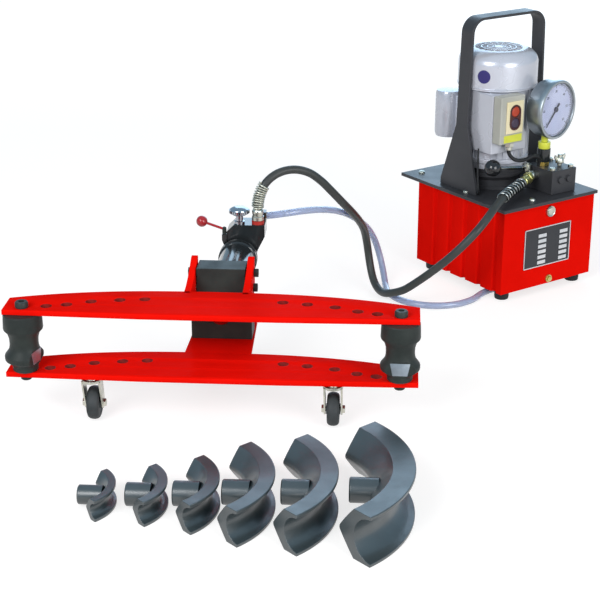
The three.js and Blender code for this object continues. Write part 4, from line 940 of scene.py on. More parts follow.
def flowing(route: Sequence[Point], step: float) -> list[Vector]:
    """Draws the smooth curve through a route's points, as the part's source does.

    Args:
        route: the points.
        step: distance between the points given back, in millimetres.

    Returns:
        Points along the curve, evenly spaced.
    """
    knots = [Vector(p) for p in route]
    knots = [2 * knots[0] - knots[1], *knots, 2 * knots[-1] - knots[-2]]
    dense: list[Vector] = []
    for p0, p1, p2, p3 in zip(knots, knots[1:], knots[2:], knots[3:]):
        d0, d1, d2 = [(b - a).length ** 0.5 for a, b in ((p0, p1), (p1, p2), (p2, p3))]
        t1 = ((p1 - p0) / d0 - (p2 - p0) / (d0 + d1) + (p2 - p1) / d1) * d1
        t2 = ((p2 - p1) / d1 - (p3 - p1) / (d1 + d2) + (p3 - p2) / d2) * d1
        bend, twist = 3 * (p2 - p1) - 2 * t1 - t2, 2 * (p1 - p2) + t1 + t2
        dense += [p1 + t1 * t + bend * t * t + twist * t ** 3 for t in (k / 24 for k in range(24))]
    dense.append(knots[-2])
    runs = [0.0]
    for a, b in zip(dense, dense[1:]):
        runs.append(runs[-1] + (b - a).length)
    count = max(2, round(runs[-1] / step))
    even, k = [], 0
    for i in range(count + 1):
        want = runs[-1] * i / count
        while k < len(runs) - 2 and runs[k + 1] < want:
            k += 1
        even.append(dense[k].lerp(dense[k + 1], (want - runs[k]) / (runs[k + 1] - runs[k])))
    return even


@dataclass
class Studio:
    """The floor, the light and the camera.

    Args:
        camera: its place in the bender's frame, in millimetres.
        azimuth_deg: its turn about Z.
        pitch_deg: how far it looks down.
        lens_mm: focal length on a 36 mm sensor.
        lamps: name, place, size, power and colour of each lamp.
        aim: the point that every lamp faces.
        reach: half the floor's width, in metres.
    """

    camera: Point = (260.5, -1963.3, 970.3)
    azimuth_deg: float = 3.8
    pitch_deg: float = 21.19
    lens_mm: float = 90.0
    lamps: tuple[tuple[str, Point, float, float, str], ...] = (
        ("key", (-1.4, -2.4, 1.8), 1.6, 66, "#ffffff"), ("fill", (2.0, -2.2, 1.1), 1.6, 56, "#ffffff"),
        ("back", (0.2, 3.2, 1.3), 2.2, 40, "#c0dcf4"), ("top", (0.2, 0.0, 3.0), 2.4, 3, "#ffffff"))
    aim: Point = (0, 0, 0.15)
    reach: float = 40

    def build(self) -> None:
        """Makes the camera, the floor, the lamps and the world."""
        view = bpy.data.cameras.new("camera")
        view.lens = self.lens_mm
        view.sensor_width = 36.0
        view.clip_end = 50.0
        eye = linked("camera", view)
        eye.location = BENDER.at(*self.camera)
        eye.rotation_euler = (math.radians(90 - self.pitch_deg), 0, math.radians(self.azimuth_deg))
        bpy.context.scene.camera = eye
        self._floor()
        for name, place, size, power, colour in self.lamps:
            lamp = bpy.data.lights.new(name, "AREA")
            lamp.size = size
            lamp.energy = power
            lamp.color = linear(colour)[:3]
            holder = linked(name, lamp)
            holder.location = place
            holder.rotation_euler = (Vector(self.aim) - Vector(place)).to_track_quat("-Z", "Y").to_euler()
        self._world()
        bpy.context.scene.view_settings.view_transform = "Standard"

    def _floor(self) -> None:
        """Lays a wide pale floor that keeps the shadows."""
        mesh = bpy.data.meshes.new("floor")
        corners = [(x * self.reach, y * self.reach, 0) for x, y in ((-1, -1), (1, -1), (1, 1), (-1, 1))]
        mesh.from_pydata(corners, [], [(0, 1, 2, 3)])
        paper = bpy.data.materials.new("paper backdrop, matt white")
        paper.use_nodes = True
        nodes = Nodes(paper.node_tree)
        rays = nodes.outs("ShaderNodeLightPath")
        seen = nodes.math("MAXIMUM", rays["Is Camera Ray"], rays["Is Glossy Ray"])
        seen = nodes.math("MAXIMUM", seen, rays["Is Transmission Ray"])
        where = nodes.outs("ShaderNodeTexCoord")["Object"]
        away = nodes.add("ShaderNodeVectorMath", {0: where}, "Value", operation="LENGTH")
        glow = nodes.math("MULTIPLY", seen, nodes.span(away, (1.6, 5.0), (0.72, 0.9)))
        matt = nodes.add("ShaderNodeBsdfDiffuse", {"Color": (0.4, 0.4, 0.4, 1)})
        light = nodes.add("ShaderNodeEmission", {"Color": (1, 1, 1, 1), "Strength": glow})
        both = nodes.add("ShaderNodeAddShader", {0: matt, 1: light})
        nodes.add("ShaderNodeOutputMaterial", {"Surface": both})
        mesh.materials.append(paper)
        floor = linked("floor", mesh)

    def _world(self) -> None:
        """Surrounds the set with even light, white where the camera sees it."""
        world = bpy.data.worlds.new("studio")
        world.use_nodes = True
        nodes = Nodes(world.node_tree)
        rays = nodes.outs("ShaderNodeLightPath")
        shown = nodes.math("MAXIMUM", rays["Is Camera Ray"], rays["Is Glossy Ray"])
        tint = nodes.blend(rays["Is Glossy Ray"], linear("#ffffff"), linear("#a6c6dd"))
        level = nodes.span(shown, (0, 1), (0.32, 1.0))
        sky = nodes.add("ShaderNodeBackground", {"Color": tint, "Strength": level})
        nodes.add("ShaderNodeOutputWorld", {"Surface": sky})
        bpy.context.scene.world = world


@dataclass
class Castings:
    """Pieces that keep the shape of their CAD node, with their edges broken.

    Args:
        rows: place, node, piece, finish and width of the broken edges.
    """

    rows: tuple[tuple[Place, str, str, Finish, float], ...] = (
        (BENDER, "cylinder_block", "cylinder_block_casting", CAST_PAINT, 1.4),
        (BENDER, "ear_bolt_left", "ear_bolt_left_head", CAST_PAINT, 0.5),
        (BENDER, "ear_bolt_right", "ear_bolt_right_head", CAST_PAINT, 0.5),
        (PUMP, "tank", "tank_shell", RED_ENAMEL, 0.7),
        (PUMP, "tank_cover", "tank_cover_sheet", POWDER_COAT, 1.2),
        (PUMP, "return_elbow", "return_elbow_block", ZINC, 0.8),
        (PUMP, "piston_pump", "piston_pump_block", STEEL, 0.8),
        (PUMP, "capacitor_housing", "capacitor_housing_pressing", MOTOR_PAINT, 1.2),
        (PUMP, "terminal_housing", "terminal_box", MOTOR_PAINT, 2.2),
        (PUMP, "switch_box", "switch_case", BOX_PLASTIC, 2.0),
        (PUMP, "valve_block", "valve_block_milled", POWDER_COAT, 1.0))

    def build(self) -> None:
        """Makes every piece of the table."""
        for place, node, name, finish, bevel in self.rows:
            Form().cad(node, place).made(name, place, finish, node, bevel=bevel)


@dataclass
class Hoses:
    """The pressure hose with its coiled guards, and the clear return hose.

    Args:
        pressure_radius: outer radius of the pressure hose.
        return_radius: outer radius of the return hose.
        return_bore: its inner radius.
        cylinder_guard: length, turns and wire radius of the guard at the cylinder.
        pump_guard: the same for the guard at the pump.
        guard_gap: clearance between hose and wire.
        guard_seat: length of a guard that its fitting hides.
    """

    pressure_radius: float = 7.0
    return_radius: float = 6.0
    return_bore: float = 4.0
    cylinder_guard: Point = (48.0, 11.0, 1.5)
    pump_guard: Point = (88.0, 9.0, 1.6)
    guard_gap: float = 0.5
    guard_seat: float = 8.0

    def build(self) -> None:
        """Makes the hoses and their guards."""
        pressure, back = flowing(PRESSURE_ROUTE, 6.0), flowing(RETURN_ROUTE, 6.0)
        hose = Form().tube(pressure, self.pressure_radius, 24).made(
            "pressure_hose_skin", BENDER, HOSE_COVER, "pressure_hose", tidy=False)
        first = self._guard("hose_guard_cylinder", pressure, self.cylinder_guard, CREAM_SPRING)
        last = self._guard("hose_guard_pump", pressure[::-1], self.pump_guard, GUARD_ZINC)
        clear = Form().tube(back, self.return_radius, 24, self.return_bore).made(
            "return_hose_skin", BENDER, CLEAR_VINYL, "return_hose", tidy=False)

    def _guard(self, node: str, run: Sequence[Vector], size: Point, finish: Finish) -> bpy.types.Object:
        """Winds a spring guard on one end of the hose.

        Args:
            node: the CAD node that it stands for.
            run: the hose's centre line, from the guard's own end.
            size: length, turns and wire radius.
            finish: the wire's finish.

        Returns:
            The piece.
        """
        length, turns, wire = size
        kept, total = [run[0].lerp(run[1], 0.3)], 0.0
        for a, b in zip(run[1:], run[2:]):
            kept.append(a)
            total += (b - a).length
            if total > length - self.guard_seat:
                break
        line = bpy.data.meshes.new("guard path")
        line.from_pydata([tuple(p) for p in kept], [(i, i + 1) for i in range(len(kept) - 1)], [])
        radius = self.pressure_radius + self.guard_gap + wire
        wound = grown(line, coil_tree(), {
            "Turns": turns, "Winding Radius": radius, "Wire Radius": wire, "Finish": finish.material()})
        return Form().take(wound).made(f"{node}_wire", BENDER, finish, node)


@dataclass
class WingFrame:
    """The two wing plates, their ears, the pivot pins, the end shoes and the casters.

    Args:
        half_length: half a wing's length.
        mid_depth: a wing's depth in the middle.
        end_depth: its depth at the ends.
        rake: how far the front edge falls back at the ends.
        thickness: a plate's thickness.
        low: underside of the lower plate.
        gap: distance between the plates.
        hole_radius: radius of a pin hole.
        tongue_half: half the tongue's width at its root.
        tongue_end: half its width, and its place, at its end.
        ears: inner and outer face of an ear.
        ear_rise: how far an ear stands above its plate.
        ear_drop: how far it hangs below the plate.
        pin_shares: each pin hole's place, as a share of the half length and of the depth.
        shoe: radius, and share of the gap, round a shoe.
        knob: profile of a pin's knob.
        tread: half the profile of a wheel.
        casters: name and place of each caster.
    """

    half_length: float = HALF_WING
    mid_depth: float = 97.0
    end_depth: float = 54.0
    rake: float = 5.0
    thickness: float = 8.0
    low: float = 74.0
    gap: float = 89.5
    hole_radius: float = 8.2
    tongue_half: float = 50.0
    tongue_end: Pair = (46.5, 240.0)
    ears: Pair = (38.4, 48.4)
    ear_rise: float = 25.0
    ear_drop: float = 21.0
    pin_shares: Profile = (
        (0.337, 0.63), (0.457, 0.577), (0.593, 0.485), (0.703, 0.34), (0.797, 0.258), (0.91, 0.175))
    shoe: Profile = (
        (8.6, 0), (17.4, 0), (18.5, 0.015), (18.7, 0.09), (21.5, 0.13), (28.2, 0.19), (29, 0.215),
        (29, 0.265), (28.3, 0.285), (22.6, 0.37), (21.2, 0.43), (20.9, 0.5), (21.4, 0.58), (23.8, 0.67),
        (28.3, 0.725), (28.9, 0.75), (28.5, 0.88), (28, 0.985), (27, 1), (8.6, 1), (8.6, 0))
    knob: Profile = ((8.2, 0), (9.6, 0.8), (9.6, 7), (8.2, 9), (4.4, 9), (4.2, 5), (0, 5))
    tread: Profile = (
        (4.6, -10.4), (8, -10.4), (8.6, -8.4), (14.5, -8.2), (15.5, -9), (20, -9), (22.6, -7.8),
        (24.2, -5.4), (25, -2))
    casters: tuple[tuple[str, float, float], ...] = (
        ("left", -177.0, 18.0), ("right", 177.0, 18.0), ("rear", 0.0, 214.0))

    def rear(self, x: float) -> float:
        """Gives the rear edge's distance behind the front at a place along the wing."""
        return self.mid_depth - (self.mid_depth - self.end_depth) * (abs(x) / self.half_length) ** 2.6

    def build(self) -> None:
        """Makes every piece of the frame."""
        top = self.low + self.thickness + self.gap
        holes = [(side * a * self.half_length, b * self.mid_depth, self.hole_radius)
                 for a, b in self.pin_shares for side in (-1, 1)]
        self._plates(top, holes)
        for word, level in (("lower", self.low), ("upper", top)):
            # Thin dark red sleeves lining the pin holes: painted shade inside the holes
            wall = Form().lathe(ring(8.15, 8.35, 0.3, self.thickness - 0.4), 32)
            wall.on_spots([(x, y, level) for x, y, _ in holes[:-2]], HOLE_SHADE).made(
                f"{word}_wing_drilled_walls", BENDER, HOLE_SHADE)
        for word, side, turn_deg in (("left", -1, 75), ("right", 1, 0)):
            self._end(word, side, turn_deg, top)
        for word, x, y in self.casters:
            hub = (x, y + 14, 25)
            fork = Form().cad(f"caster_fork_{word}", BENDER)
            fork.hexagon(7, 15, 17.4, hub, Axis.X).hexagon(7, -17.4, -15, hub, Axis.X)
            fork.made(f"caster_fork_{word}_pressing", BENDER, ZINC, f"caster_fork_{word}", f"caster_{word}",
                      bevel=0.5)
            tread = [*self.tread, *[(r, -h) for r, h in self.tread[::-1]], self.tread[0]]
            Form().lathe(tread, 56, hub, Axis.X).made(
                f"caster_wheel_{word}_tread", BENDER, TYRE, f"caster_wheel_{word}", f"wheel_{word}")

    def _plates(self, top: float, holes: Sequence[Point]) -> None:
        """Cuts the wing plates, the lower with its tongue and the upper with its ears.

        Args:
            top: underside of the upper plate.
            holes: the place and radius of each pin hole.
        """
        half, tongue, (narrow, end) = self.half_length, self.tongue_half, self.tongue_end
        front = [(-half, self.rake), (-half / 3, 0), (half / 3, 0), (half, self.rake)]
        rear = [(x, self.rear(x)) for x in (half - half * i / 24 for i in range(49))]
        root = self.rear(tongue)
        right, left = [[p for p in rear if side * p[0] > tongue] for side in (1, -1)]
        low_rear = [*right, (tongue, root), (narrow, end), (-narrow, end), (-tongue, root), *left]
        Form().plate(front + low_rear, self.low, self.low + self.thickness, holes).made(
            "lower_wing", BENDER, RED_ENAMEL, "lower_wing_plate")
        lift = top + self.thickness
        upper = Form().plate(front + rear, top, lift, holes)
        crest, foot, (inner, outer) = lift + self.ear_rise, top - self.ear_drop, self.ears
        shares = (0, 0.15, 0.3, 0.45, 0.6, 0.75, 0.9, 1)
        slope = [(97 + 83 * t, lift + self.ear_rise * t ** 1.7) for t in shares]
        ear = [(91, top + 1), (91, lift), *slope, (186, crest), (186, foot), (109, foot)]
        for low, high in ((-outer, -inner), (inner, outer)):
            upper.plate(ear, low, high, lay=SIDEWAYS)
        upper.made("upper_wing", BENDER, RED_ENAMEL, "upper_wing_plate")

    def _end(self, word: str, side: int, turn_deg: float, top: float) -> None:
        """Makes the pin and the shoe at one end.

        Args:
            word: the end's name.
            side: -1 for left, 1 for right.
            turn_deg: how far the shoe is turned.
            top: underside of the upper plate.
        """
        x, back = side * self.pin_shares[-1][0] * self.half_length, self.pin_shares[-1][1] * self.mid_depth
        base, height = self.low + self.thickness + SEAT_GAP, self.gap - 2 * SEAT_GAP
        knob = top + self.thickness + SEAT_GAP
        pin = Form().drum(8, self.low - 7, knob + 1, (x, back, 0), edge=1.2)
        pin.lathe(self.knob, 32, (x, back, knob))
        pin.made(f"pivot_pin_{word}_turned", BENDER, CAST_PAINT, f"pivot_pin_{word}", f"pin_{word}")
        body = Form().lathe([(r, base + height * share) for r, share in self.shoe], 64).mesh("shoe")
        slab = Form().box((-40, -60, base + 9), (40, -19, base + 35)).mesh("slab")
        turn = Matrix.Translation((x, back, 0)) @ Matrix.Rotation(math.radians(turn_deg), 4, "Z")
        Form().take(cut(body, slab), turn).made(
            f"end_shoe_{word}_casting", BENDER, CAST_PAINT, f"end_shoe_{word}", f"shoe_{word}", bevel=0.7)
        face = [(-10.6, base + 13), (10.6, base + 13), (14.4, base + 32), (-14.4, base + 32)]
        lay = turn @ Matrix.Rotation(math.pi / 2, 4, "Z") @ SIDEWAYS
        Form().plate(face, -19.25, -18.9, lay=lay, edge=0.1).made(
            f"end_shoe_{word}_milled_face", BENDER, MILLED, body=f"shoe_{word}")


@dataclass
class CylinderUnit:
    """The barrel with its ram, gland and spring, and the valve end."""

    axis_height: float = 126.75
    tube: Profile = (
        (25, 176.3), (30, 176.3), (30, 383), (31.5, 384), (32.5, 385), (32.5, 390), (31.9, 391),
        (32.5, 392), (32.5, 399), (31.5, 400), (25, 400), (25, 176.3))
    ram: Profile = (
        (0, 138), (13.5, 138), (16.8, 139.2), (17.5, 141), (17.5, 352), (24.6, 352), (24.6, 380),
        (12, 380), (12, 168), (0, 168))
    spring_turns: int = 34
    spring_radius: float = 9.2
    spring_start: float = 170.0
    spring_length: float = 228.0
    valve_start: float = 400.3
    valve: Profile = ((0, 0), (28.4, 0), (29, 0.6), (29, 44), (22, 52), (0, 52))
    cap: Profile = (
        (0, 0), (9, 0), (9, 4), (6, 5), (6, 15), (12, 15.4), (16, 18), (16.5, 20), (16.5, 23), (15.6, 25),
        (11, 27.6), (5, 28.8), (0, 29))
    sleeve: Profile = (
        (0, 6.2), (9.6, 6.2), (10.2, 7), (10.2, 13), (9, 14), (9, 17), (9.7, 18), (9.7, 22), (8.6, 25),
        (7.4, 26), (0, 26))

    def build(self) -> None:
        """Makes every piece of the cylinder."""
        z = self.axis_height
        for name, finish, profile, sides, node, body in (
                ("cylinder_tube", GLOSS_BLACK, self.tube, 72, "cylinder_barrel", ROOT),
                ("ram_bar", CHROME, self.ram, 64, "ram", "ram"),
                ("rod_gland_ring", BRASS, ring(17.9, 22.5, 160.3, 174.3), 48, "rod_gland", ROOT)):
            Form().lathe(profile, sides, (0, 0, z), Axis.Y).made(name, BENDER, finish, node, body)
        steps, radius = self.spring_turns * 16, self.spring_radius
        winding = arc((0, z), (radius, radius), (22.5 * k for k in range(steps + 1)))
        coil = [Vector((x, self.spring_start + self.spring_length * k / steps, h))
                for k, (x, h) in enumerate(winding)]
        Form().tube(coil, 1.5, 8).made("return_spring_wire", BENDER, STEEL, "return_spring", tidy=False)
        Form().drum(6.5, 0, 6.5, (48.6, 160, 164), Axis.X, 24).made(
            "ear_bolt_right_lower", BENDER, CAST_PAINT)
        self._valve(z, z + 55)
        self._lever(Vector((-24, self.valve_start + 8, z + 38.3)))

    def _valve(self, z: float, top: float) -> None:
        """Makes the valve's body with its screws, cap, coupler and barb.

        Args:
            z: height of the cylinder's axis.
            top: the height that the cap and the coupler stand on.
        """
        start = self.valve_start
        body = Form().lathe(self.valve, 64, (0, start, z), Axis.Y)
        side = [(-8, top), (-20, top - 12), (-20, z), (22, z), (30, z + 7), (44, top - 20), (44, top)]
        ledge = [(-18, z + 38), (-28, z + 38), (-28, z + 28), (-18, z)]
        for outline, ends in ((side, (4, 46)), (ledge, (4, 12))):
            body.loft([[(x, start + y, h) for x, h in outline] for y in ends])
        body.box((30, start + 29, top - 2), (44, start + 46, top + 15))
        body.made("valve_casting", BENDER, GLOSS_BLACK, "valve_body", bevel=4.0)
        screws = [(x, start + 45.8, z + h) for x, h in ((-14, 42), (36, 42), (25, 12))]
        Form().hexagon(7, 0, 3.4, axis=Axis.Y).on_spots(screws, ZINC).made("valve_screws", BENDER, ZINC)
        seat = top + SEAT_GAP
        cap = Form().lathe(self.cap, 64, (1, start + 14.5, seat))
        cap.around(Form().box((-0.7, -1.1, -2.4), (0.9, 1.1, 2.4)), 26, 16.4, CHROME,
                   matrix=Matrix.Translation((1, start + 14.5, seat + 21.2)))
        cap.made("filler_cap_knob", BENDER, CHROME, "filler_cap", "filler")
        saddle = (32.0, start + 14.7, seat)
        Form().lathe(self.sleeve, 48, saddle).made("hose_coupler_sleeve", BENDER, ZINC, "hose_coupler")
        Form().lathe([(0, 0), (10.4, 0), (10.4, 6), (0, 6)], 48, saddle).made(
            "hose_coupler_ring", BENDER, SEAL_RED)
        Form().drum(5.4, -1.5, 0.9, (44, start + 37.7, top + 7.25), Axis.X, 32).made(
            "return_barb", BENDER, BRASS)

    @staticmethod
    def _lever(hub: Vector) -> None:
        """Makes the release lever.

        Args:
            hub: the foot of its hub.
        """
        Form().drum(3.6, 0, 11, hub).drum(2.4, 10, 12, hub).made(
            "release_hub", BENDER, CAST_PAINT, "release_lever", "release", "red_plastic")
        root = hub + Vector((0, 0, 8))
        tip = root + Vector((-37.5, 0, 13))
        Form().tube([root, tip], 2.2, 16).made("release_rod", BENDER, RED_BALL, body="release")
        Form().ball(tip, 9.5).made("release_ball", BENDER, RED_BALL, body="release")


@dataclass
class FormerSet:
    """Six loose bending formers in a row.

    Args:
        pipes: the pipe diameter of each former.
        radii: its bend's outer radius.
        gaps: its distance from the one before.
        first: where the row starts.
        row: the row's place in front of the wings.
        lip: height of the lip above and below the groove.
        flat_share: depth of the flat behind the lip, in groove radii.
        wall_share: depth of the back behind the flat, in groove radii.
        back_shares: depth and height of the back, as shares.
        hub_length: length of the hub behind the back.
    """

    pipes: tuple[float, ...] = (21.3, 26.9, 33.7, 42.4, 48.3, 60.3)
    radii: tuple[float, ...] = (65, 77, 100, 138, 161, 190)
    gaps: tuple[float, ...] = (0, 13.9, 7.5, 3.4, 7.7, 13.6)
    first: float = -98.0
    row: float = -233.0
    lip: float = 4.9
    flat_share: float = 1.02
    wall_share: float = 0.85
    back_shares: Profile = (
        (0.3, 0.135), (0.62, 0.28), (0.86, 0.4), (0.97, 0.46), (0.99, 0.5), (0.97, 0.54), (0.86, 0.6),
        (0.62, 0.72), (0.3, 0.865))
    hub_length: float = 30.0

    def build(self) -> None:
        """Makes the formers, each on its own body."""
        ahead = self.first
        for i, (pipe, radius, gap) in enumerate(zip(self.pipes, self.radii, self.gaps), 1):
            inner = radius - pipe / 2 * (self.flat_share + self.wall_share)
            if i > 1:
                ahead += gap + radius - inner + self.hub_length
            self._former(i, pipe, radius, inner, ahead - radius)

    def _former(self, i: int, pipe: float, radius: float, inner: float, centre: float) -> None:
        """Makes one former.

        Args:
            i: its number.
            pipe: the pipe's diameter.
            radius: the bend's outer radius.
            inner: radius of its back.
            centre: place of the bend's centre along X.
        """
        groove, tall = pipe / 2, pipe + 2 * self.lip
        flat = radius - groove * self.flat_share
        section = [(radius - 0.8, 0), (flat + 0.8, 0), (flat, 0.6)]
        section += [(flat - (flat - inner) * deep, tall * high) for deep, high in self.back_shares]
        section += [(flat, tall - 0.6), (flat + 0.8, tall), (radius - 0.8, tall), (radius, tall - 0.8)]
        section += [(radius, tall - self.lip + 0.4)]
        for a in [math.pi * k / 24 for k in range(1, 24)]:
            section.append((radius - groove * math.sin(a), tall / 2 + groove * math.cos(a)))
        section += [(radius, self.lip - 0.4), (radius, 0.8), section[0]]
        body = Form().lathe(section, 56, sweep_deg=90)
        high = min(17.0, tall / 2 - self.lip / 2)
        socket = min(12.5, high - self.lip / 2)
        start, end = inner - self.hub_length, inner + groove * 0.3
        bottom = start + 24
        hub = [(socket, bottom), (socket, start), (high - 1.5, start), (high, start + 1.5), (high, end),
               (0, end), (0, bottom), (socket, bottom)]
        body.lathe(hub, 48, (0, 0, tall / 2), Axis.X).moved(Matrix.Translation((centre, self.row, 0)))
        node = f"bending_former_{i}"
        body.made(f"{node}_casting", BENDER, FORMER_IRON, node, f"former_{i}", bevel=0.8)


@dataclass
class OilTank:
    """The tank's feet, screws, plugs and plate, and the carrying handle."""

    cover_top: float = 174.3
    feet: Profile = ((22, 22), (194, 22), (22, 216), (194, 216))
    foot: Profile = ((0, 0), (11.4, 0), (12.4, 1), (13, 5), (13, 13), (12.2, 15.7), (0, 15.7))
    screws: Profile = ((78, 16), (203, 48), (26, 262), (190, 262), (14, 120), (206, 214))
    screw: Profile = ((0, 0), (6, 0), (6, 1.2), (5.4, 3), (3, 4.4), (0, 4.8))
    sight: Profile = ((0, -5), (6.6, -5), (7, -3.6), (9.6, -4.6), (10, -3.6), (10, -0.3), (0, -0.3))
    plate: tuple[Pair, Pair] = ((50, 53), (160, 127))

    def build(self) -> None:
        """Makes every piece of the tank that isn't a casting."""
        self._handle()
        for i, (x, y) in enumerate(self.feet, 1):
            Form().lathe(self.foot, 40, (x, y, 0)).made(
                f"rubber_foot_{i}_moulding", PUMP, FOOT_RUBBER, f"rubber_foot_{i}")
        Form().lathe(self.screw, 28).on_spots([(x, y, self.cover_top) for x, y in self.screws], ZINC).made(
            "cover_screws", PUMP, ZINC)
        Form().lathe(self.sight, 40, (107, 0, 154), Axis.Y).made("sight_plug_body", PUMP, ZINC, "sight_plug")
        drain = (112, 0, 26)
        seat = [(0, -3.6), (6.8, -3.6), (7, -3.4), (7, -0.3), (0, -0.3)]
        Form().lathe(seat, 36, drain, Axis.Y).hexagon(8.6, -7, -3.4, drain, Axis.Y).made(
            "drain_plug_body", PUMP, YELLOW_ZINC, "drain_plug")
        (left, low), (right, high) = self.plate
        Form().box((left, -1.2, low), (right, -0.05, high)).made("data_plate", PUMP, PLATE_INK, bevel=0.3)
        cells = [(x, -1.3, 111 - 10 * k) for x in (92, 143) for k in range(6)]
        Form().box((-9.5, -0.5, -3.1), (9.5, 0.3, 3.1)).on_spots(cells, PLATE_BARE).made(
            "data_plate_fields", PUMP, PLATE_BARE)
        rim = Form()
        for x0, z0, x1, z1 in ((left, low, right, low + 1.6), (left, high - 1.6, right, high),
                               (left, low, left + 1.6, high), (right - 1.6, low, right, high)):
            rim.box((x0, -1.5, z0), (x1, -1.0, z1))
        rim.made("data_plate_rim", PUMP, PLATE_BARE)

    def _handle(self) -> None:
        """Bends the flat bar of the carrying handle, flared at its feet, and clips the supply lead to it."""
        base = self.cover_top + SEAT_GAP
        top, corner, thick = base + 310, 28.0, 5.0
        foot, half, flare = 94.0, 86.0, 118
        bend = arc((half - corner, top - corner), (corner, corner), range(0, 91, 9))
        right = [(foot, base, 0), (foot, base + 11, 0), (foot - 3.4, base + flare, 0)]
        right += [(x, z, 9 * k) for k, (x, z) in enumerate(bend)]
        sections = []
        for side, run in ((1, right), (-1, right[::-1])):
            for x, z, a in run:
                turn = math.radians(a)
                inner = (x - thick * math.cos(turn), z - thick * math.sin(turn))
                wide = 15 + 34 * min(1.0, max(0.0, (base + flare - z) / 107))
                ends = ((x, -wide, z), (x, wide, z), (inner[0], wide, inner[1]), (inner[0], -wide, inner[1]))
                sections.append([(side * px, py, pz) for px, py, pz in ends])
        bar = Form().loft(sections).moved(Matrix.Translation((106, 142, 0)))
        bar.made("carry_handle_bar", PUMP, POWDER_COAT, "carry_handle", bevel=0.9)
        lead = flowing([(14, 92, 262), (12.5, 90, 235), (12.5, 88.5, 206), (13.5, 87, 186), (18, 92, 177.4),
                        (26, 106, 176.4)], 3.0)
        Form().tube(lead, 1.7, 12).made("supply_lead_clipped", PUMP, FOOT_RUBBER, tidy=False)


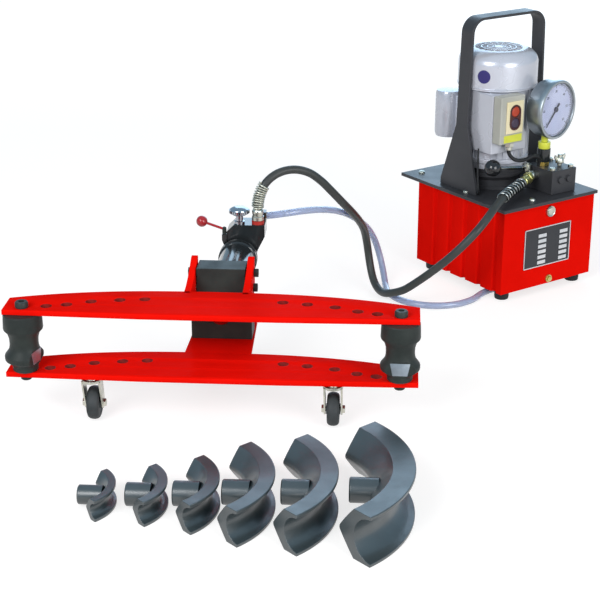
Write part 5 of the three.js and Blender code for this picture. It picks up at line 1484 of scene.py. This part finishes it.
@dataclass
class MotorUnit:
    """The motor with its cowl, its capacitor's can and its switch."""

    x: float = 96.0
    y: float = 142.0
    base: float = 174.6
    shell_low: float = 214.6
    shell_high: float = 364.6
    fins: int = 34
    blades: int = 11
    grille_bars: int = 20
    switch_front: float = 54.7
    switch_mid: float = 61.0
    switch_base: float = 272.3
    shell: Profile = (
        (8.4, 0), (61, 0), (61, 9), (62.4, 11), (62.4, 18), (60, 20), (60, 149), (59, 150), (8.4, 150),
        (8.4, 0))
    rotor: Profile = (
        (0, -234.6), (7.4, -234.6), (8, -234), (8, -142), (35, -142), (35, -36), (8, -36), (8, 0), (56, 0),
        (56, 1.6), (16, 1.6), (14, 5), (0, 5))
    base_ring: Profile = (
        (8.4, 0), (52, 0), (52, 5), (50.5, 6), (50.5, 17), (52, 19), (58, 25), (58, 30), (57, 31),
        (57, 33), (58, 34), (58, 39), (57.2, 39.7), (8.4, 39.7), (8.4, 0))
    can: Profile = (
        (22.4, -0.2), (24.3, 6), (24.3, 78), (22.4, 84.2), (18, 85), (0, 85.2), (0, -0.8), (18, -0.6),
        (22.4, -0.2))
    button: Profile = ((0, -4.2), (6.4, -4.2), (8, -3.6), (9, -2.4), (9, 6), (0, 6))

    def build(self) -> None:
        """Makes every piece of the motor that isn't a casting."""
        Form().lathe(self.base_ring, 96, (self.x, self.y, self.base)).made(
            "motor_base_ring", PUMP, POWDER_COAT, "motor_base")
        root = Matrix.Translation((self.x, self.y, self.shell_low + 19))
        shell = Form().lathe(self.shell, 96, (self.x, self.y, self.shell_low))
        shell.around(Form().box((-2, -0.9, 0), (1.4, 0.9, 124)), self.fins, 60, MOTOR_PAINT, matrix=root)
        shell.made("motor_shell", PUMP, MOTOR_PAINT, "motor_body", bevel=0.4)
        self._cowl()
        self._rotor()
        Form().lathe(self.can, 64, (56, 227, self.base + 77.7)).made("capacitor_can", PUMP, MOTOR_PAINT)
        self._switch(self.switch_front, self.switch_mid, self.switch_base)

    def _cowl(self) -> None:
        """Makes the domed fan cowl with its grille."""
        low = self.shell_high - 6
        high = low + 67
        dome = [(71.0, low)] + arc((43, high - 24), (28, 24), range(0, 91, 9))
        inside = [(r - 2, h - (2 if h > low else 0)) for r, h in dome]
        cowl = Form().lathe(dome + inside[::-1] + [dome[0]], 96)
        bar = Form().box((8, -0.7, high - 2.4), (43.5, 0.7, high - 0.6))
        cowl.around(bar, self.grille_bars, 0.0, MOTOR_PAINT)
        for r in (11, 21, 31):
            cowl.lathe(ring(r - 0.8, r + 0.8, high - 2.2, high + 0.2), 64)
        cowl.drum(8.4, high - 2.4, high + 0.3)
        bead = [(69.4, 3), (71.4, 3), (71.9, 4), (71.4, 5), (69.4, 5), (69.4, 3)]
        cowl.lathe(bead, 96, (0, 0, low)).moved(Matrix.Translation((self.x, self.y, 0)))
        cowl.made("fan_cowl_pressing", PUMP, MOTOR_PAINT, "fan_cowl")
        rings = []
        for size, reach in ((0.4, 71.3), (6, 71.3), (11.5, 71.3), (11.9, 71.25), (11.9, 71.05), (0.4, 71.05)):
            spots = [(math.radians(-151.6) + u / reach, low + 26 + v)
                     for u, v in arc((0, 0), (size, size), range(0, 360, 9))]
            rings.append([(self.x + reach * math.cos(a), self.y + reach * math.sin(a), h) for a, h in spots])
        Form().loft(rings).made("cowl_blank_disc", PUMP, BLUE_FILM)

    def _rotor(self) -> None:
        """Makes the rotor and its fan blades."""
        fan = (self.x, self.y, self.shell_high + 14)
        root = Matrix.Translation(fan) @ Matrix.Translation((0, 0, 1.4))
        rotor = Form().lathe(self.rotor, 64, fan)
        rotor.around(Form().box((-19, -0.8, 0), (19, 0.8, 3.4)), self.blades, 36, DARK_PLASTIC, matrix=root)
        rotor.made("rotor_with_fan", PUMP, STEEL, "rotor_and_fan", "rotor")

    def _switch(self, front: float, mid: float, base: float) -> None:
        """Makes the switch's plate, bezel, strip, gland, conduit and buttons.

        Args:
            front: the housing's front face.
            mid: its middle along X.
            base: its underside.
        """
        first, second = base + 37, base + 57.5
        lay = Matrix.Translation((0, front - 0.05, 0)) @ UPRIGHT
        holes = [(mid, first, 9.3), (mid, second, 9.3)]
        corners = [(mid - 19, base + 19), (mid + 19, base + 19), (mid + 19, base + 76), (mid - 19, base + 76)]
        Form().plate(corners, 0, 2.4, holes, lay).made("switch_front_plate", PUMP, CREAM_PLASTIC, bevel=0.5)
        upper, lower = [arc((mid, height), (12.6, 12.6), range(start, start + 180, 12))
                        for height, start in ((second, 0), (first, 180))]
        Form().plate(upper + lower, 0, 3.6, holes, lay, 0.5).made("switch_bezel", PUMP, BEZEL_PLASTIC)
        Form().box((mid - 22, front - 0.7, base + 3), (mid + 19, front - 0.05, base + 16)).made(
            "switch_blank_strip", PUMP, YELLOW_FILM)
        foot = (mid, 65.2, base)
        Form().hexagon(15, -8, -0.1, foot).drum(6.4, -14, -7.8, foot).made("switch_gland", PUMP, ZINC)
        lead = flowing([(mid + x, y, base - drop) for x, y, drop in (
            (0, 65.2, 12), (1, 64, 22), (10, 58, 32), (28, 53, 34), (48, 52, 30), (64, 55, 36), (71, 60, 46),
            (72, 61, 53.5))], 3.0)
        Form().tube(lead, 3.4, 16).made("switch_conduit", PUMP, FOOT_RUBBER, tidy=False)
        for word, height, finish in (("stop", second, RED_PLASTIC), ("start", first, DARK_PLASTIC)):
            Form().lathe(self.button, 48, (mid, front, height), Axis.Y).made(
                f"{word}_button_cap", PUMP, finish, f"{word}_button", word)


@dataclass
class ValveGear:
    """The valve block's screws, lever and adjuster, the gauge and the hose fitting."""

    top: float = 218.2
    gauge: Point = (0.0, -18.0, 324.3)
    screw: Profile = ((0, 0), (4.6, 0), (5, 0.4), (5, 4), (4.5, 4.6), (2.6, 4.6), (2.4, 2.4), (0, 2.4))
    plug: Profile = ((0, -4), (5.6, -4), (6.2, -3.4), (6.2, 0), (0, 0))
    nut: Profile = ((0, 6), (7.6, 6), (8, 7), (7, 14), (5, 16.5), (0, 16.5))
    wing: Profile = ((5, 9), (11, 12), (13, 17), (11.6, 21.4), (8, 20), (5, 15))
    case: Profile = (
        (0, 0), (47, 0), (47, -5.6), (48, -7.6), (50.4, -8), (52.4, -7.2), (53, -5.6), (53, 0), (52, 1),
        (50, 1), (50, 24), (48.5, 27), (46, 28), (0, 28))
    lens: Profile = ((0, -6.8), (46, -6.8), (46.9, -6.4), (46.9, -5.4), (0, -5.8))
    sleeve: Profile = ((0, 8), (11.4, 8), (12, 9), (12, 31), (11, 32), (0, 32))
    collar: Profile = ((0, 32), (10.6, 32), (11, 32.6), (11, 43.4), (10.6, 44), (0, 44))

    def build(self) -> None:
        """Makes every piece of the valve gear that isn't a casting."""
        screws = [(x, y, self.top) for x, y in ((133, 26), (177, 26), (177, 78), (150, 80))]
        Form().lathe(self.screw, 28).on_spots(screws, ZINC).made("valve_block_screws", PUMP, ZINC)
        plugs = [(146, 18, 200), (166, 18, 200)]
        Form().lathe(self.plug, 28, axis=Axis.Y).on_spots(plugs, POWDER_COAT).made(
            "valve_block_plugs", PUMP, POWDER_COAT)
        base = self.top + SEAT_GAP
        self._adjuster((163, 40, base))
        self._lever((118.7, 76, 214.6))
        self._gauge()
        self._stem((142.0, 60.0, base))
        self._fitting()

    def _adjuster(self, foot: Point) -> None:
        """Makes the pressure adjuster with its wing nut.

        Args:
            foot: where it stands on the block.
        """
        nut = Form().drum(4, 0, 22, foot, sides=28, edge=0.8).lathe(self.nut, 32, foot)
        lay = Matrix.Translation(foot) @ UPRIGHT
        for side in (-1, 1):
            nut.plate([(side * x, h) for x, h in self.wing][::side], -1.6, 1.6, lay=lay, edge=0.5)
        nut.made("pressure_adjuster_screw", PUMP, ZINC, "pressure_adjuster", "adjuster")

    @staticmethod
    def _lever(root: Point) -> None:
        """Makes the control lever.

        Args:
            root: the middle of its hub.
        """
        knob = Vector((30, 70, 228.6))
        Form().drum(7, -7, 7, root, sides=36, edge=1.0).drum(3.4, 6.4, 8.8, root, sides=24).made(
            "control_lever_hub", PUMP, ZINC, "control_lever", "control", "black_plastic")
        Form().tube([Vector(root), knob], 3.2, 24).made("control_lever_rod", PUMP, CHROME, "", "control",
                                                        "black_plastic")
        Form().ball(knob, 15).made("control_lever_ball", PUMP, BLACK_BALL, body="control")

    def _gauge(self) -> None:
        """Makes the pressure gauge with its dial, needle and lens."""
        c, zero_deg, sweep_deg = self.gauge, 42, 264
        Form().lathe(self.case, 96, c, Axis.Y).made("gauge_case_pressing", GAUGE, STEEL, "gauge_case")
        Form().drum(46.6, -0.8, -0.1, c, Axis.Y, 72, 0.1).made("gauge_dial", GAUGE, DIAL_WHITE)
        face = Matrix.Translation(c) @ Matrix.Translation((0, -0.95, 0)) @ UPRIGHT
        marks = Form()
        for count, out, (long, wide) in ((7, 41, (3, 0.45)), (61, 42.6, (1.6, 0.22))):
            bar = Form().box((-long, -wide, -0.1), (long, wide, 0.12))
            marks.around(bar, count, out, DIAL_INK, -zero_deg, sweep_deg, face)
        marks.lathe(ring(44.3, 44.8, -0.1, 0.12), 90, (c[0], c[1] - 1.0, c[2]), Axis.Y)
        for k, (x, y) in enumerate(arc((0, 0), (32, 32), range(222, -43, -44))):
            marks.text(str(10 * k), 6.0, face @ Matrix.Translation((x, y, 0)))
        marks.made("gauge_dial_marks", GAUGE, DIAL_INK)
        blade = ((2.0, 0.6, -13), (1.4, 0.6, -3), (1.4, 0.6, 3), (0.5, 0.4, 38))
        pointer = Form().loft([[(-w, -h, z), (w, -h, z), (w, h, z), (-w, h, z)] for w, h, z in blade])
        pointer.drum(4.6, -1.6, 1.4, axis=Axis.Y, sides=32, edge=0.5)
        pointer.moved(Matrix.Translation((c[0], c[1] - 2.6, c[2])) @ Matrix.Rotation(
            math.radians(180 + zero_deg), 4, "Y"))
        pointer.made("gauge_pointer", GAUGE, DIAL_INK, "gauge_needle", "needle")
        Form().lathe(self.lens, 72, c, Axis.Y).made("gauge_lens", GAUGE, LENS)

    def _stem(self, foot: Point) -> None:
        """Makes the gauge's stem with its hexagon, sleeve and collar.

        Args:
            foot: where it stands on the block.
        """
        Form().hexagon(19, 0, 8, foot).drum(9.6, 7.8, 9, foot).made("gauge_stem_hexagon", PUMP, BRASS)
        Form().lathe(self.sleeve, 48, foot).drum(9, 31, 32.4, foot).made(
            "gauge_stem_sleeve", PUMP, GLOSS_BLACK, "gauge_stem", slot="black_paint")
        Form().lathe(self.collar, 48, foot).drum(6, 44, 277 - foot[2], foot, sides=32).made(
            "gauge_stem_collar", PUMP, YELLOW_FILM, slot="brass")

    @staticmethod
    def _fitting() -> None:
        """Makes the swivel fitting that the pressure hose ends in."""
        start = Vector((112, 58, 204.3))
        stop = PUMP.matrix.inverted() @ BENDER.at(*PRESSURE_ROUTE[-1])
        way = stop - start
        Form().ball(start, 9).tube([start, start + Vector((13.7, 0, 0))], 6.8, 32).made(
            "pump_fitting_swivel", PUMP, ZINC)
        lay = Matrix.Translation(start) @ Vector((0, 0, 1)).rotation_difference(way).to_matrix().to_4x4()
        reach = way.length - SEAT_GAP
        nut = Form().hexagon(17.6, 7, 17).drum(7.4, 16.8, 19).lathe(
            [(0, 18.6), (8.2, 18.6), (8.8, 19.4), (8.8, reach - 1), (8, reach), (0, reach)], 40)
        nut.moved(lay).made("pump_fitting_nut", PUMP, YELLOW_ZINC, "pump_hose_fitting")


def main() -> None:
    """Builds the set and every sub-assembly, the camera and the hoses first."""
    logging.basicConfig(level=logging.INFO, format="%(name)s: %(message)s")
    Studio().build()
    for unit in (Hoses, WingFrame, CylinderUnit, FormerSet, Castings, OilTank, MotorUnit, ValveGear):
        unit().build()
        LOG.info("built %s", unit.__name__)


if __name__ == "__main__":
    main()
